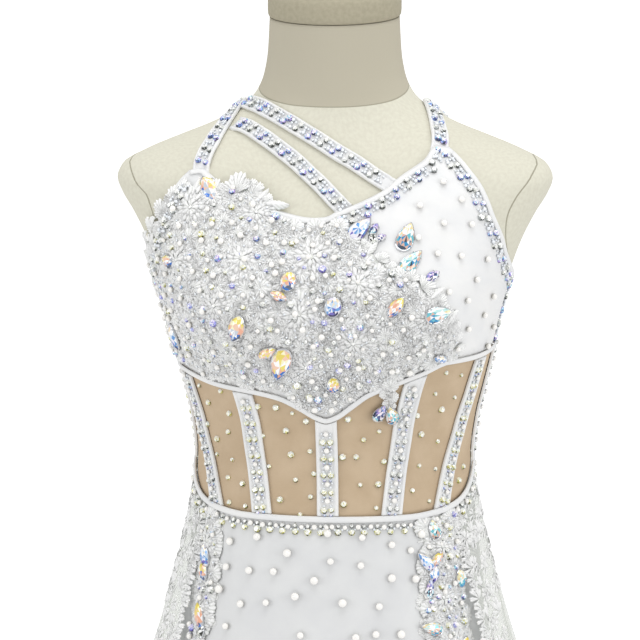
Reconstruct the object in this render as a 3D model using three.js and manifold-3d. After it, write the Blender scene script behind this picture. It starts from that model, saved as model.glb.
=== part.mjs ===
// A lyrical dance dress worn by a limbless dress form on a stand, at real size in millimetres.
// +Z is up, the front faces -Y, and the origin is the centre of the base plate's underside.
// The dress has a crossed-strap bodice, a mesh midriff with boning strips, a fitted
// underskirt and a sheer overskirt that is open in front.
import * as THREE from "three";
import Module from "manifold-3d";
import { mergeVertices } from "three/addons/utils/BufferGeometryUtils.js";

const wasm = await Module();
wasm.setup();

// Driving dimensions. Heights in the tables below are measured from the waist, the narrowest level.
const WAIST_HEIGHT = 900;
const CLOTH = 1.2;
const SKIN_GAP = 1;
const LAYER_GAP = 0.85;
const SEAM_GAP = 0.3;
const FORM_BOTTOM = -225;
const NECK_SEAM = 324;
const CAP_HEIGHT = 19;
const NECK_LEAN = { degrees: 7, from: 285, over: 35 };
const STEM = {
  radius: 14, collarRadius: 24, collarHeight: 14, shoulderRadius: 17, shoulderHeight: 20, neckHeight: 22,
};
const BASE = { radius: 170, thickness: 14, edge: 3, foot: 1.5 };
const FLANGE = { radius: 42, thickness: 6 };
const STRAP_WIDTH = 12.7;
const STRIP_WIDTH = 15.5;
const BINDING = { width: 5, thickness: 1.5 };
const PIPING = { width: 4, thickness: 1.1, inset: 2.6 };
const UNDERSKIRT = { hem: -212, ease: 2.5, easeOver: 160 };
const SKIRT_FRONT_EDGE = 66;
const SKIRT_HEM_FRONT = -545;
const SKIRT_HEM_BACK = -630;
const SIDE_SEAM = 92;

const BASE_LAYER = SKIN_GAP;
const TOP_LAYER = BASE_LAYER + CLOTH + LAYER_GAP;

const SECTION_COLUMNS = ["height", "halfWidth", "front", "back", "square"];
// One row for each level of the body: its half width, its depth in front and behind, and how square it is.
const SECTIONS = [
  [-260, 115, 94, 100, 2.1],
  [-230, 116, 96, 104, 2.1],
  [-205, 118, 98, 110, 2.15],
  [-175, 117, 98, 112, 2.15],
  [-140, 113, 95, 106, 2.15],
  [-100, 109, 90, 97, 2.15],
  [-65, 105.5, 86, 86, 2.1],
  [-30, 102.5, 81, 76, 2.1],
  [0, 100.5, 78, 70, 2.1],
  [27, 103.5, 80, 71, 2.1],
  [53, 109.5, 86, 75, 2.15],
  [80, 116, 93, 80, 2.2],
  [106, 122, 99, 84, 2.25],
  [132, 129.5, 98, 88, 2.35],
  [159, 139, 92, 89, 2.45],
  [181, 150, 84, 88, 2.5],
  [194, 158, 78, 87, 2.5],
  [205, 162, 72, 85, 2.5],
  [215, 158, 66, 82, 2.45],
  [226, 139, 60, 78, 2.4],
  [236, 115, 54.5, 74, 2.3],
  [246, 90, 50, 68, 2.2],
  [257, 70, 47, 62, 2.1],
  [268, 58.5, 46, 57, 2.05],
  [281, 52.5, 46, 53, 2.0],
  [298, 49.5, 46.5, 50, 2.0],
  [324, 48, 48, 46, 2.0],
];
const BUST = { rise: 16, angle: 33, spread: 17, height: 118, tallness: 30 };

// The edges of the pieces, as height against the angle round the body. Angle 0 is the front and
// positive angles lie on the +X side.
const WAIST_LINE = [
  [0, -38], [40, -38], [55, -36], [66, -32], [74, -26], [81, -18], [88, -9], [96, -1], [108, 5], [180, 8],
];
const CUP_HEM = [
  [-180, 80], [-120, 74], [-92, 68], [-68, 65], [-50, 60], [-33, 57], [-22, 53], [-12, 45], [-5, 38.5],
  [0, 36], [5, 38.5], [12, 46.5], [20, 56.5], [30, 64.5], [40, 72], [50, 79], [62, 79], [92, 82],
  [120, 80], [180, 80],
];
const NECKLINE = [
  [-60.4, 213], [-57, 214.5], [-54, 211], [-48, 204], [-37, 194], [-25, 188], [-16, 184], [-10, 182.3], [-4, 182],
  [1, 183], [5, 186], [15.5, 191.7], [29, 201], [37, 209.5], [50, 222], [56.8, 231], [61.2, 230],
];
const LACE_SIDE_ARMHOLE = [
  [-91.1, 132], [-84, 138], [-76, 145], [-70, 155], [-66, 168], [-63, 185], [-61.5, 200], [-60.4, 213],
];
const PLAIN_SIDE_ARMHOLE = [
  [91.1, 132], [84, 138], [76, 145], [70, 155], [66.5, 167], [63, 183], [61.4, 205], [61.2, 230],
];
const BACK_TOP = [
  [92, 134], [104, 126], [120, 118], [140, 115], [180, 114],
];

// Piping along the plain side's armhole, as angle and height.
const ARMHOLE_PIPING = [
  [62.3, 212], [63, 200], [64.3, 186], [68, 166.5], [72, 153], [77, 143], [84, 135.8], [90.5, 132],
];

// Strap routes on the body, as angle and height, from the bodice over the shoulder to the back band.
const SHOULDER_STRAP = [
  [59.2, 231.8], [63, 238], [68.5, 245], [77, 252], [90, 257.5], [106, 254], [120, 243], [131, 224],
  [139, 197], [145, 160], [149, 116.8],
];
const LACE_SIDE_STRAP = [
  [-58, 215.4], [-60.5, 225], [-63, 233], [-68, 242.5], ...mirrorRows(SHOULDER_STRAP.slice(3)).reverse(),
];
const UPPER_DIAGONAL = [
  [-77.5, 260.6], [-69, 260], [-58, 258.4], [-45, 254], [-33, 248.6], [-19, 241.5], [-5, 234], [7, 226.6],
  [18, 219.3], [31.5, 205.6],
];
const LOWER_DIAGONAL = [
  [-62, 245.6], [-54.7, 243.5], [-41.5, 236], [-30, 228], [-19, 219.5], [-11, 212], [-3, 204], [7.6, 190.3],
];

// Each strap: its route, its number of steps and the slopes of its two cut ends.
const STRAPS = {
  strap_shoulder_lace_side: { route: LACE_SIDE_STRAP, steps: 22, cuts: [0.25, 0.05] },
  strap_shoulder_plain_side: { route: SHOULDER_STRAP, steps: 20, cuts: [-0.15, -0.05] },
  strap_diagonal_upper: { route: UPPER_DIAGONAL, steps: 14 },
  strap_diagonal_lower: { route: LOWER_DIAGONAL, steps: 12 },
};

// Boning strips: the angle of each one at the cup hem, halfway down and at the waist.
const STRIPS = {
  centre: [0, 0.6, 1],
  front: [38, 37, 32],
  side_front: [70, 68, 57],
  side: [92, 92, 91],
};

// Rows of a table with their angles on the other side of the front.
function mirrorRows(rows) {
  return rows.map(([angle, ...rest]) => [-angle, ...rest]).reverse();
}

const clamp = (v, low, high) => Math.min(high, Math.max(low, v));
const radians = (degrees) => (degrees * Math.PI) / 180;
const mix = (a, b, t) => a + (b - a) * t;
const smooth = (t) => t * t * (3 - 2 * t);

// A curve through a table's rows with no overshoot: monotone cubic interpolation of a column against the first.
function curve(rows, column = 1) {
  const x = rows.map((r) => r[0]);
  const y = rows.map((r) => r[column]);
  const rise = x.slice(1).map((v, i) => (y[i + 1] - y[i]) / (v - x[i]));
  const slope = y.map((_, i) => {
    if (i === 0) return rise[0];
    if (i === y.length - 1) return rise[i - 1];
    const both = rise[i - 1] * rise[i];
    return both <= 0 ? 0 : (2 * both) / (rise[i - 1] + rise[i]);
  });
  return (at) => {
    const v = clamp(at, x[0], x[x.length - 1]);
    let i = 0;
    while (i < x.length - 2 && v > x[i + 1]) i++;
    const h = x[i + 1] - x[i];
    const u = (v - x[i]) / h;
    return (
      (1 + 2 * u) * (1 - u) ** 2 * y[i] +
      u * (1 - u) ** 2 * h * slope[i] +
      u * u * (3 - 2 * u) * y[i + 1] +
      u * u * (u - 1) * h * slope[i + 1]
    );
  };
}

const section = Object.fromEntries(
  SECTION_COLUMNS.slice(1).map((name, i) => [name, curve(SECTIONS, i + 1)]),
);
const halfWaistLine = curve(WAIST_LINE);
const waistLine = (angle) => halfWaistLine(Math.abs(wrap(angle)));
const cupHemCurve = curve(CUP_HEM);
const cupHem = (angle) => cupHemCurve(wrap(angle));
const neckline = curve(NECKLINE);
const backTop = curve(BACK_TOP);

// An angle brought between -180 and 180 degrees.
function wrap(angle) {
  return ((((angle + 180) % 360) + 360) % 360) - 180;
}

// The body's radius at an angle and height: a squared ellipse with the bust's two gentle rises.
function bodyRadius(angle, height) {
  const c = Math.cos(radians(angle));
  const s = Math.sin(radians(angle));
  const depth = c > 0 ? section.front(height) : section.back(height);
  const n = section.square(height);
  const r = (Math.abs(c / depth) ** n + Math.abs(s / section.halfWidth(height)) ** n) ** (-1 / n);
  const aside = (Math.abs(wrap(angle)) - BUST.angle) / BUST.spread;
  const above = (height - BUST.height) / BUST.tallness;
  return r + BUST.rise * Math.exp(-(aside * aside + above * above) / 2);
}

function polar(angle, radius, height) {
  return new THREE.Vector3(
    radius * Math.sin(radians(angle)),
    -radius * Math.cos(radians(angle)),
    height,
  );
}

// The neck leans: towards its top each ring tilts down in front.
function bodyPoint(angle, height) {
  const p = polar(angle, bodyRadius(angle, height), height);
  const slope = Math.tan(radians(NECK_LEAN.degrees));
  const lean = smooth(clamp((height - NECK_LEAN.from) / NECK_LEAN.over, 0, 1)) * slope;
  p.z += lean * p.y + WAIST_HEIGHT;
  return p;
}

// A point off a surface, moved out along its normal. surface takes an angle and a height.
function lifted(surface, angle, height, lift) {
  const da = 0.05;
  const dz = 0.2;
  const along = surface(angle + da, height).sub(surface(angle - da, height));
  const up = surface(angle, height + dz).sub(surface(angle, height - dz));
  const normal = along.cross(up).normalize();
  return surface(angle, height).addScaledVector(normal, lift);
}

function geometryOf(points, faces) {
  const g = new THREE.BufferGeometry();
  g.setAttribute("position", new THREE.Float32BufferAttribute(points.flatMap((p) => [p.x, p.y, p.z]), 3));
  g.setIndex(faces.flat());
  return g;
}

// A closed wall between two grids of points with the same rows and columns. Rows run upwards and
// columns run towards greater angles. A ring joins its last column to its first.
function wall(inner, outer, ring = false) {
  const rows = inner.length;
  const cols = inner[0].length;
  const points = [...inner.flat(), ...outer.flat()];
  const shift = rows * cols;
  const at = (r, c) => r * cols + (c % cols);
  const faces = [];
  const quad = (a, b, c, d) => faces.push([a, b, c], [a, c, d]);
  const spans = ring ? cols : cols - 1;
  for (let r = 0; r < rows - 1; r++)
    for (let c = 0; c < spans; c++) {
      const [p, q, s, t] = [at(r, c), at(r, c + 1), at(r + 1, c + 1), at(r + 1, c)];
      quad(p + shift, q + shift, s + shift, t + shift);
      quad(p, t, s, q);
    }
  const top = rows - 1;
  for (let c = 0; c < spans; c++) {
    quad(at(0, c), at(0, c + 1), at(0, c + 1) + shift, at(0, c) + shift);
    quad(at(top, c) + shift, at(top, c + 1) + shift, at(top, c + 1), at(top, c));
  }
  if (!ring)
    for (let r = 0; r < top; r++) {
      quad(at(r, 0), at(r, 0) + shift, at(r + 1, 0) + shift, at(r + 1, 0));
      quad(at(r, spans) + shift, at(r, spans), at(r + 1, spans), at(r + 1, spans) + shift);
    }
  return geometryOf(points, faces);
}

// A closed solid from a stack of rings, bottom to top, each end closed by a fan round its middle.
const middleOf = (ring) => ring.reduce((sum, p) => sum.add(p), new THREE.Vector3()).divideScalar(ring.length);
function stack(rings, foot = middleOf(rings[0]), tip = middleOf(rings[rings.length - 1])) {
  const n = rings[0].length;
  const points = rings.flat();
  const faces = [];
  for (let r = 0; r < rings.length - 1; r++)
    for (let c = 0; c < n; c++) {
      const [a, b] = [r * n + c, r * n + ((c + 1) % n)];
      faces.push([a, b, b + n], [a, b + n, a + n]);
    }
  points.push(foot, tip);
  const last = (rings.length - 1) * n;
  for (let c = 0; c < n; c++) {
    faces.push([(c + 1) % n, c, points.length - 2]);
    faces.push([last + c, last + ((c + 1) % n), points.length - 1]);
  }
  return geometryOf(points, faces);
}

// A cloth panel on a surface, from one angle to another and between two edges given as heights.
// relief adds to the outer face's height, over a plain inside. crowd above 1 draws the rows
// together towards the upper edge.
function panel({
  surface = bodyPoint, from, to, low, high, cols, rows, lift = BASE_LAYER, thickness = CLOTH,
  relief = () => 0, ring = false, crowd = 1,
}) {
  const grid = (rise) =>
    Array.from({ length: rows + 1 }, (_, r) =>
      Array.from({ length: ring ? cols : cols + 1 }, (_, c) => {
        const angle = mix(from, to, c / cols);
        const height = mix(low(angle), high(angle), 1 - (1 - r / rows) ** crowd);
        return lifted(surface, angle, height, rise(angle, height));
      }),
    );
  return wall(grid(() => lift), grid((a, h) => lift + thickness + relief(a, h)), ring);
}

// An edge that runs evenly along its rows of angle and height. STRETCH is about a degree's length in
// millimetres, so that the even steps are true lengths.
const STRETCH = 2;
function edgeAlong(rows) {
  const line = new THREE.CatmullRomCurve3(
    rows.map(([angle, height]) => new THREE.Vector3(angle * STRETCH, height, 0)), false, "centripetal");
  return (t) => {
    const p = line.getPointAt(t);
    return new THREE.Vector2(p.x / STRETCH, p.y);
  };
}

// A four-sided cloth panel between a bottom, a top, a left and a right edge, each a table of angle and height.
function patch({
  surface = bodyPoint, bottom, top, left, right, cols, rows, lift = BASE_LAYER, thickness = CLOTH, crowd = 1,
  relief = () => 0,
}) {
  const [b, t, l, r] = [bottom, top, left, right].map(edgeAlong);
  const blend = (u, v) => {
    const across = l(v).multiplyScalar(1 - u).addScaledVector(r(v), u);
    const upward = b(u).multiplyScalar(1 - v).addScaledVector(t(u), v);
    const low = b(0).multiplyScalar(1 - u).addScaledVector(b(1), u).multiplyScalar(1 - v);
    const high = t(0).multiplyScalar(1 - u).addScaledVector(t(1), u).multiplyScalar(v);
    return across.add(upward).sub(low).sub(high);
  };
  const grid = (rise) =>
    Array.from({ length: rows + 1 }, (_, row) =>
      Array.from({ length: cols + 1 }, (_, col) => {
        const at = blend(col / cols, 1 - (1 - row / rows) ** crowd);
        return lifted(surface, at.x, at.y, rise(at.x, at.y));
      }),
    );
  return wall(grid(() => lift), grid((a, h) => lift + thickness + relief(a, h)));
}

// A ribbon along a route of angles and heights on a surface, kept parallel to it across its width.
// cuts are the slopes of its two ends: how far each runs on for a step towards the ribbon's left.
// A slope dies away over CUT_REACH, a share of the ribbon's length.
const CUT_REACH = 0.4;
function ribbon({
  route, width, steps, across = 2, surface = bodyPoint, lift = TOP_LAYER, thickness = CLOTH, cuts = [0, 0],
}) {
  const line = edgeAlong(route);
  const centres = Array.from({ length: steps + 1 }, (_, i) => line(i / steps));
  const inner = [];
  const outer = [];
  for (const [i, c] of centres.entries()) {
    const before = centres[Math.max(0, i - 1)];
    const after = centres[Math.min(steps, i + 1)];
    const forward = surface(after.x, after.y).sub(surface(before.x, before.y)).normalize();
    const byAngle = surface(c.x + 0.05, c.y).sub(surface(c.x - 0.05, c.y)).multiplyScalar(10);
    const byHeight = surface(c.x, c.y + 0.2).sub(surface(c.x, c.y - 0.2)).multiplyScalar(2.5);
    const normal = byAngle.clone().cross(byHeight).normalize();
    const side = normal.clone().cross(forward).normalize();
    // The angle and height that go with a step of one millimetre in a direction along the surface.
    const [aa, ab, bb] = [byAngle.dot(byAngle), byAngle.dot(byHeight), byHeight.dot(byHeight)];
    const det = aa * bb - ab * ab;
    const stepFor = (direction) => {
      const [sa, sb] = [direction.dot(byAngle), direction.dot(byHeight)];
      return new THREE.Vector2((sa * bb - sb * ab) / det, (sb * aa - sa * ab) / det);
    };
    const sideways = stepFor(side);
    const ahead = stepFor(forward);
    const nearStart = Math.max(0, 1 - i / steps / CUT_REACH);
    const nearEnd = Math.max(0, 1 - (steps - i) / steps / CUT_REACH);
    const slant = cuts[0] * nearStart + cuts[1] * nearEnd;
    const row = (rise) =>
      Array.from({ length: across + 1 }, (_, k) => {
        const off = width * (0.5 - k / across);
        const angle = c.x + off * (sideways.x + slant * ahead.x);
        const height = c.y + off * (sideways.y + slant * ahead.y);
        return lifted(surface, angle, height, rise);
      });
    inner.push(row(lift));
    outer.push(row(lift + thickness));
  }
  return wall(inner, outer);
}

const group = new THREE.Group();
const finishes = {
  formCloth: new THREE.MeshStandardMaterial({ color: 0xd3d1bb, roughness: 0.9 }),
  metal: new THREE.MeshStandardMaterial({ color: 0xb9babb, roughness: 0.3, metalness: 1 }),
  jersey: new THREE.MeshStandardMaterial({ color: 0xf2f3f6, roughness: 0.55 }),
  nudeMesh: new THREE.MeshStandardMaterial({ color: 0xc2a988, roughness: 0.8 }),
  sheer: new THREE.MeshStandardMaterial({ color: 0xf4f5f2, roughness: 0.8 }),
  lace: new THREE.MeshStandardMaterial({ color: 0xf0f0ea, roughness: 0.8 }),
};

function add(name, geometry, finish) {
  const mesh = new THREE.Mesh(geometry, finish);
  mesh.name = name;
  group.add(mesh);
}

// The dress form: a smooth torso with shoulders and neck but no limbs, its neck cap, stem and base.
const FORM_COLUMNS = 32;
const FORM_LEVELS = [
  -180, -140, -100, -62, -40, -20, 0, 20, 40, 62, 82, 100, 118, 136, 152, 166, 178, 188, 197, 205,
  212, 218, 224, 230, 236, 242, 248, 254, 261, 268, 276, 287, 304, NECK_SEAM,
];
const FORM_EDGE = { height: 6, inset: 0.95 };
// The cap's profile: height above the seam, and how far the ring reaches as a share of the neck.
const CAP_PROFILE = [
  [SEAM_GAP, 0.985], [1.5, 1.02], [CAP_HEIGHT - 4, 1.03], [CAP_HEIGHT - 1, 1.0], [CAP_HEIGHT, 0.93],
];

function formRing(height, scale = 1) {
  return Array.from({ length: FORM_COLUMNS }, (_, i) => {
    const p = bodyPoint((i * 360) / FORM_COLUMNS, height);
    p.x *= scale;
    p.y *= scale;
    return p;
  });
}

function formTorso() {
  const levels = [FORM_BOTTOM + FORM_EDGE.height, ...FORM_LEVELS];
  return stack([formRing(FORM_BOTTOM, FORM_EDGE.inset), ...levels.map((height) => formRing(height))]);
}

function formNeckCap() {
  const lean = Math.tan(radians(NECK_LEAN.degrees));
  return stack(
    CAP_PROFILE.map(([rise, reach]) =>
      Array.from({ length: FORM_COLUMNS }, (_, i) => {
        const angle = (i * 360) / FORM_COLUMNS;
        const p = polar(angle, bodyRadius(angle, NECK_SEAM) * reach, NECK_SEAM + rise + WAIST_HEIGHT);
        p.z += lean * p.y;
        return p;
      }),
    ),
  );
}

// A turned piece from a profile of radius and height, which starts and ends on the axis.
function turned(profile, segments = 32) {
  return new THREE.LatheGeometry(profile.map(([r, z]) => new THREE.Vector2(r, z)), segments).rotateX(Math.PI / 2);
}

function addForm() {
  const flangeTop = WAIST_HEIGHT + FORM_BOTTOM - SEAM_GAP;
  const flangeFoot = flangeTop - FLANGE.thickness;
  const stemTop = flangeFoot - SEAM_GAP;
  const stemFoot = BASE.thickness + SEAM_GAP;
  add("form_torso", formTorso(), finishes.formCloth);
  add("form_neck_cap", formNeckCap(), finishes.formCloth);
  add("form_flange", turned([
    [0, flangeFoot], [FLANGE.radius, flangeFoot], [FLANGE.radius, flangeTop], [0, flangeTop],
  ]), finishes.metal);
  add("form_stem", turned([
    [0, stemFoot], [STEM.collarRadius, stemFoot], [STEM.collarRadius, stemFoot + STEM.collarHeight],
    [STEM.shoulderRadius, stemFoot + STEM.shoulderHeight], [STEM.radius, stemFoot + STEM.neckHeight],
    [STEM.radius, stemTop], [0, stemTop],
  ], 24), finishes.metal);
  add("form_base", turned([
    [0, 0], [BASE.radius - BASE.foot, 0], [BASE.radius, BASE.foot], [BASE.radius, BASE.thickness - BASE.edge],
    [BASE.radius - BASE.edge, BASE.thickness], [0, BASE.thickness],
  ]), finishes.metal);
}

// The bodice: two fronts that meet beside the middle, and a plain band across the back.
const FRONT_SEAM = 8;
const SEAM_ANGLE = 0.13;
const UNDER_BINDING = 0.65;
const bodiceFoot = (a) => cupHem(a) + UNDER_BINDING;

// Rows of angle and height along an edge between two angles.
function rowsOf(edge, from, to, count = 16) {
  return Array.from({ length: count + 1 }, (_, i) => {
    const angle = mix(from, to, i / count);
    return [angle, edge(angle)];
  });
}

function addBodice() {
  const frontLeft = FRONT_SEAM - SEAM_ANGLE;
  const frontRight = FRONT_SEAM + SEAM_ANGLE;
  const side = SIDE_SEAM - SEAM_ANGLE;
  const neckLeft = [...NECKLINE.filter(([a]) => a < FRONT_SEAM - 1), [frontLeft, neckline(frontLeft)]];
  const neckRight = [[frontRight, neckline(frontRight)], ...NECKLINE.filter(([a]) => a > FRONT_SEAM + 1)];
  add("bodice_front_lace_side", patch({
    bottom: rowsOf(bodiceFoot, -side, frontLeft),
    top: neckLeft,
    left: [[-side, bodiceFoot(-side)], [-side, 100], [-side, 126], ...LACE_SIDE_ARMHOLE],
    right: [[frontLeft, bodiceFoot(frontLeft)], [frontLeft, neckline(frontLeft)]],
    cols: 21, rows: 12, crowd: 1.2,
  }), finishes.jersey);
  const plainCup = patch({
    bottom: rowsOf(bodiceFoot, frontRight, side),
    top: neckRight,
    left: [[frontRight, bodiceFoot(frontRight)], [frontRight, neckline(frontRight)]],
    right: [[side, bodiceFoot(side)], [side, 100], [side, 126], ...PLAIN_SIDE_ARMHOLE],
    cols: 19, rows: 12, crowd: 1.25,
  });
  const beadedCup = withStones(plainCup, bodyPoint, BASE_LAYER + CLOTH, PLAIN_CUP_STONES);
  add("bodice_front_plain_side", beadedCup, finishes.jersey);
  add("bodice_back_band", panel({
    from: SIDE_SEAM + SEAM_ANGLE, to: 360 - SIDE_SEAM - SEAM_ANGLE, low: bodiceFoot,
    high: (a) => backTop(Math.abs(wrap(a))), cols: 20, rows: 3,
  }), finishes.jersey);
}

function addStraps() {
  for (const [name, strap] of Object.entries(STRAPS))
    add(name, ribbon({ ...strap, width: STRAP_WIDTH, lift: BASE_LAYER }), finishes.jersey);
}

function addMidriff() {
  const low = (a) => waistLine(a) + UNDER_BINDING;
  const high = (a) => cupHem(a) - UNDER_BINDING;
  add("midriff_mesh_front", panel({
    from: -SIDE_SEAM + SEAM_ANGLE, to: SIDE_SEAM - SEAM_ANGLE, low, high, cols: 24, rows: 5,
  }), finishes.nudeMesh);
  add("midriff_mesh_back", panel({
    from: SIDE_SEAM + SEAM_ANGLE, to: 360 - SIDE_SEAM - SEAM_ANGLE, low, high, cols: 18, rows: 5,
  }), finishes.nudeMesh);
}

// How steeply an edge climbs towards greater angles, at an angle, as rise over run.
function climb(edge, angle) {
  const reach = 2;
  const run = 2 * radians(reach) * bodyRadius(angle, edge(angle));
  return (edge(angle + reach) - edge(angle - reach)) / run;
}

// A strip runs up from the waist to the cup hem, its ends cut along those two edges.
function addStrip(name, angles) {
  const end = BINDING.width / 2 + 1;
  const foot = waistLine(angles[2]) + end;
  const top = cupHem(angles[0]) - end;
  const middle = mix(foot, top, 0.5);
  // A strip that leans by lean for each step up meets an edge of slope m with this cut.
  const cutFor = (m, lean) => -(m + lean) / (1 - m * lean);
  const perDegree = radians(1) * bodyRadius(angles[1], middle);
  const leanBelow = ((angles[1] - angles[2]) * perDegree) / (middle - foot);
  const leanAbove = ((angles[0] - angles[1]) * perDegree) / (top - middle);
  const cuts = [cutFor(climb(waistLine, angles[2]), leanBelow), cutFor(climb(cupHem, angles[0]), leanAbove)];
  add(name, ribbon({
    route: [[angles[2], foot], [angles[1], middle], [angles[0], top]], width: STRIP_WIDTH, steps: 6, cuts,
  }), finishes.jersey);
}

function addStrips() {
  const { centre, ...pairs } = STRIPS;
  addStrip("strip_centre", centre);
  for (const [name, angles] of Object.entries(pairs)) {
    addStrip(`strip_${name}_plain_side`, angles);
    addStrip(`strip_${name}_lace_side`, angles.map((angle) => -angle));
  }
}

// Bindings: narrow raised bands that cover the edges.
function addBindings() {
  const half = BINDING.width / 2;
  const band = (edge, cols) => panel({
    from: -180, to: 180, low: (a) => edge(a) - half, high: (a) => edge(a) + half, cols, rows: 1,
    lift: TOP_LAYER, thickness: BINDING.thickness, ring: true,
  });
  add("binding_cup_hem", band(cupHem, 54), finishes.jersey);
  add("binding_waist", band(waistLine, 48), finishes.jersey);
  const besideNeck = rowsOf((a) => neckline(a) - PIPING.inset, -14, 51, 10);
  const piping = { width: PIPING.width, thickness: PIPING.thickness, steps: 16, across: 1 };
  add("binding_neckline", ribbon({ route: besideNeck, ...piping }), finishes.jersey);
  add("binding_armhole", ribbon({ route: ARMHOLE_PIPING, ...piping }), finishes.jersey);
}

// The underskirt stands off the body a little more towards its hem.
function ease(drop) {
  return UNDERSKIRT.ease * smooth(clamp(drop / UNDERSKIRT.easeOver, 0, 1));
}

function underskirtPoint(angle, height) {
  return lifted(bodyPoint, angle, height, ease(waistLine(angle) - height));
}

function addUnderskirt() {
  const edges = { surface: underskirtPoint, low: () => UNDERSKIRT.hem, high: (a) => waistLine(a) - UNDER_BINDING };
  add("underskirt_front", panel({
    ...edges, from: -SIDE_SEAM + SEAM_ANGLE, to: SIDE_SEAM - SEAM_ANGLE, cols: 22, rows: 7,
  }), finishes.jersey);
  add("underskirt_back", panel({
    ...edges, from: SIDE_SEAM + SEAM_ANGLE, to: 360 - SIDE_SEAM - SEAM_ANGLE, cols: 20, rows: 8,
  }), finishes.jersey);
}

// The overskirt hangs in flutes that deepen towards its hem and vary round it. The two sides differ
// by a shift that dies away towards the back seam.
const SKIRT = {
  cloth: 1, flare: 0.085, moreFlare: 0.13, length: 600, hipLevel: -190,
  flutes: 10, fluteDepth: 27, fluteGrowth: 1.15, shift: 0.9,
  wander: 0.35, wanderRate: 5.1, uneven: 0.2, unevenRate: 7,
};
const skirtTop = (angle) => waistLine(angle) - BINDING.width / 2 - 1;
// How far round from the front edge to the back seam an angle lies, from 0 to 1.
const skirtTurn = (angle) => clamp((Math.abs(wrap(angle)) - SKIRT_FRONT_EDGE) / (180 - SKIRT_FRONT_EDGE), 0, 1);

function skirtPoint(angle, height) {
  const drop = Math.max(0, skirtTop(angle) - height);
  const share = drop / SKIRT.length;
  const flare = drop * (SKIRT.flare + SKIRT.moreFlare * share);
  const turn = skirtTurn(angle);
  const shift = wrap(angle) < 0 ? SKIRT.shift * (1 - turn) : 0;
  const phase = Math.PI * SKIRT.flutes * turn + SKIRT.wander * Math.sin(SKIRT.wanderRate * turn) + 2 * shift;
  const uneven = 1 - SKIRT.uneven + SKIRT.uneven * Math.cos(SKIRT.unevenRate * turn + 4 * shift);
  const depth = SKIRT.fluteDepth * uneven * smooth(clamp(share * SKIRT.fluteGrowth, 0, 1));
  const clearance = BASE_LAYER + CLOTH + ease(drop);
  const body = bodyRadius(angle, Math.max(height, SKIRT.hipLevel));
  const radius = body + clearance + flare + depth * Math.cos(phase);
  return polar(angle, radius, height + WAIST_HEIGHT);
}

// Lace along the overskirt's front edges, raised in its outer face.
const SKIRT_LACE = { rise: 0.9, reach: 98 };
const skirtLaceFoot = curve([[66, -152], [74, -128], [82, -92], [90, -60], [98, -22]]);
function skirtLace(angle, height) {
  const aside = Math.abs(wrap(angle));
  return aside < SKIRT_LACE.reach && height > skirtLaceFoot(aside) ? SKIRT_LACE.rise : 0;
}

function addOverskirt() {
  const hem = (a) => mix(SKIRT_HEM_FRONT, SKIRT_HEM_BACK, smooth(skirtTurn(a)));
  const middle = (SKIRT_FRONT_EDGE + 180) / 2;
  const gores = {
    overskirt_side_plain_side: [SKIRT_FRONT_EDGE, middle],
    overskirt_back_plain_side: [middle, 180],
    overskirt_back_lace_side: [180, 360 - middle],
    overskirt_side_lace_side: [360 - middle, 360 - SKIRT_FRONT_EDGE],
  };
  for (const [name, [from, to]] of Object.entries(gores))
    add(name, panel({
      surface: skirtPoint, from: from + SEAM_ANGLE, to: to - SEAM_ANGLE, low: hem, high: skirtTop,
      cols: 20, rows: 7,
      lift: LAYER_GAP, thickness: SKIRT.cloth, relief: skirtLace, crowd: 1.25,
    }), finishes.sheer);
}

// Raised lace: a thin sheet with flowers raised in its outer face and large stones fused to it.
const LACE = { lift: BASE_LAYER + CLOTH + 0.9, thickness: 1.1, petals: 5, flowerRise: 2.2 };
// Each ring: its share of the full outline and its height over the sheet. tip is the middle's height.
const STONE_LEVELS = { rings: [[1, -0.75], [1, 3.2], [0.5, 5.2]], tip: 5.3 };
const STONE_SIDES = 6;
const BODICE_LACE = {
  bottom: [
    [-96, 74], [-80, 73], [-68, 71.5], [-50, 66.5], [-33, 63.5], [-22, 59.5], [-12, 51.5], [-5, 45], [0, 42.5],
    [5, 45], [12, 53], [20, 63], [30, 71], [40, 78.5], [53, 85],
  ],
  left: [
    [-96, 74], [-96, 100], [-95, 128], [-86, 140], [-77, 150], [-71, 163], [-67, 180], [-65, 197], [-62, 208],
  ],
  top: [
    [-62, 208], [-57, 206], [-51, 203], [-45, 208], [-40, 211], [-36, 205], [-30, 199], [-24, 196], [-19, 189],
    [-16.5, 178], [-8, 175.5], [0, 175.8], [8, 178],
  ],
  right: [
    [53, 85], [49, 95], [44, 108], [40, 122], [33, 137], [27, 143], [22, 153], [16, 163], [13, 171], [8, 178],
  ],
};
// Flowers on the bodice's lace. Columns: angle, height, radius, turn.
const BODICE_FLOWERS = [
  [-54, 187, 17, 10], [-81, 126, 19, 40], [-31, 184, 16, 0], [-55, 150, 18, 20], [-6, 155, 19, 50],
  [-84, 88, 16, 5], [-60, 108, 18, 30], [-31, 152, 17, 0], [-37, 121, 15, 25], [14, 137, 18, 0],
  [-10, 116, 18, 60], [-46, 85, 14, 15], [12, 97, 17, 30], [35, 115, 14, 0], [-8, 78, 15, 10],
];
// Large stones on it. Columns: angle, height, length, width, turn.
const BODICE_STONES = [
  [-51, 200, 22, 14, 34], [-59, 149, 12, 9, 62], [-14, 138, 14, 11, -18], [-17, 128.5, 13, 7, 68],
  [-30, 107, 21, 12, -20], [-22, 90.5, 15, 8, -58], [-18, 81, 27, 15, 165], [-66.5, 92, 20, 9, 6],
  [4, 65, 12, 9, -8], [4.5, 121, 14, 12, -15], [25.5, 122, 17, 9, -38], [15.5, 174, 22, 13, -42],
  [38.5, 117, 21, 12, -80], [44, 85, 12, 6, 78],
];
// Large stones beside it, on the plain cup's satin.
const PLAIN_CUP_STONES = [[33, 169, 22, 13, -22], [32.5, 152, 22, 12, -45], [38, 141.5, 14, 7, -58]];

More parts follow.
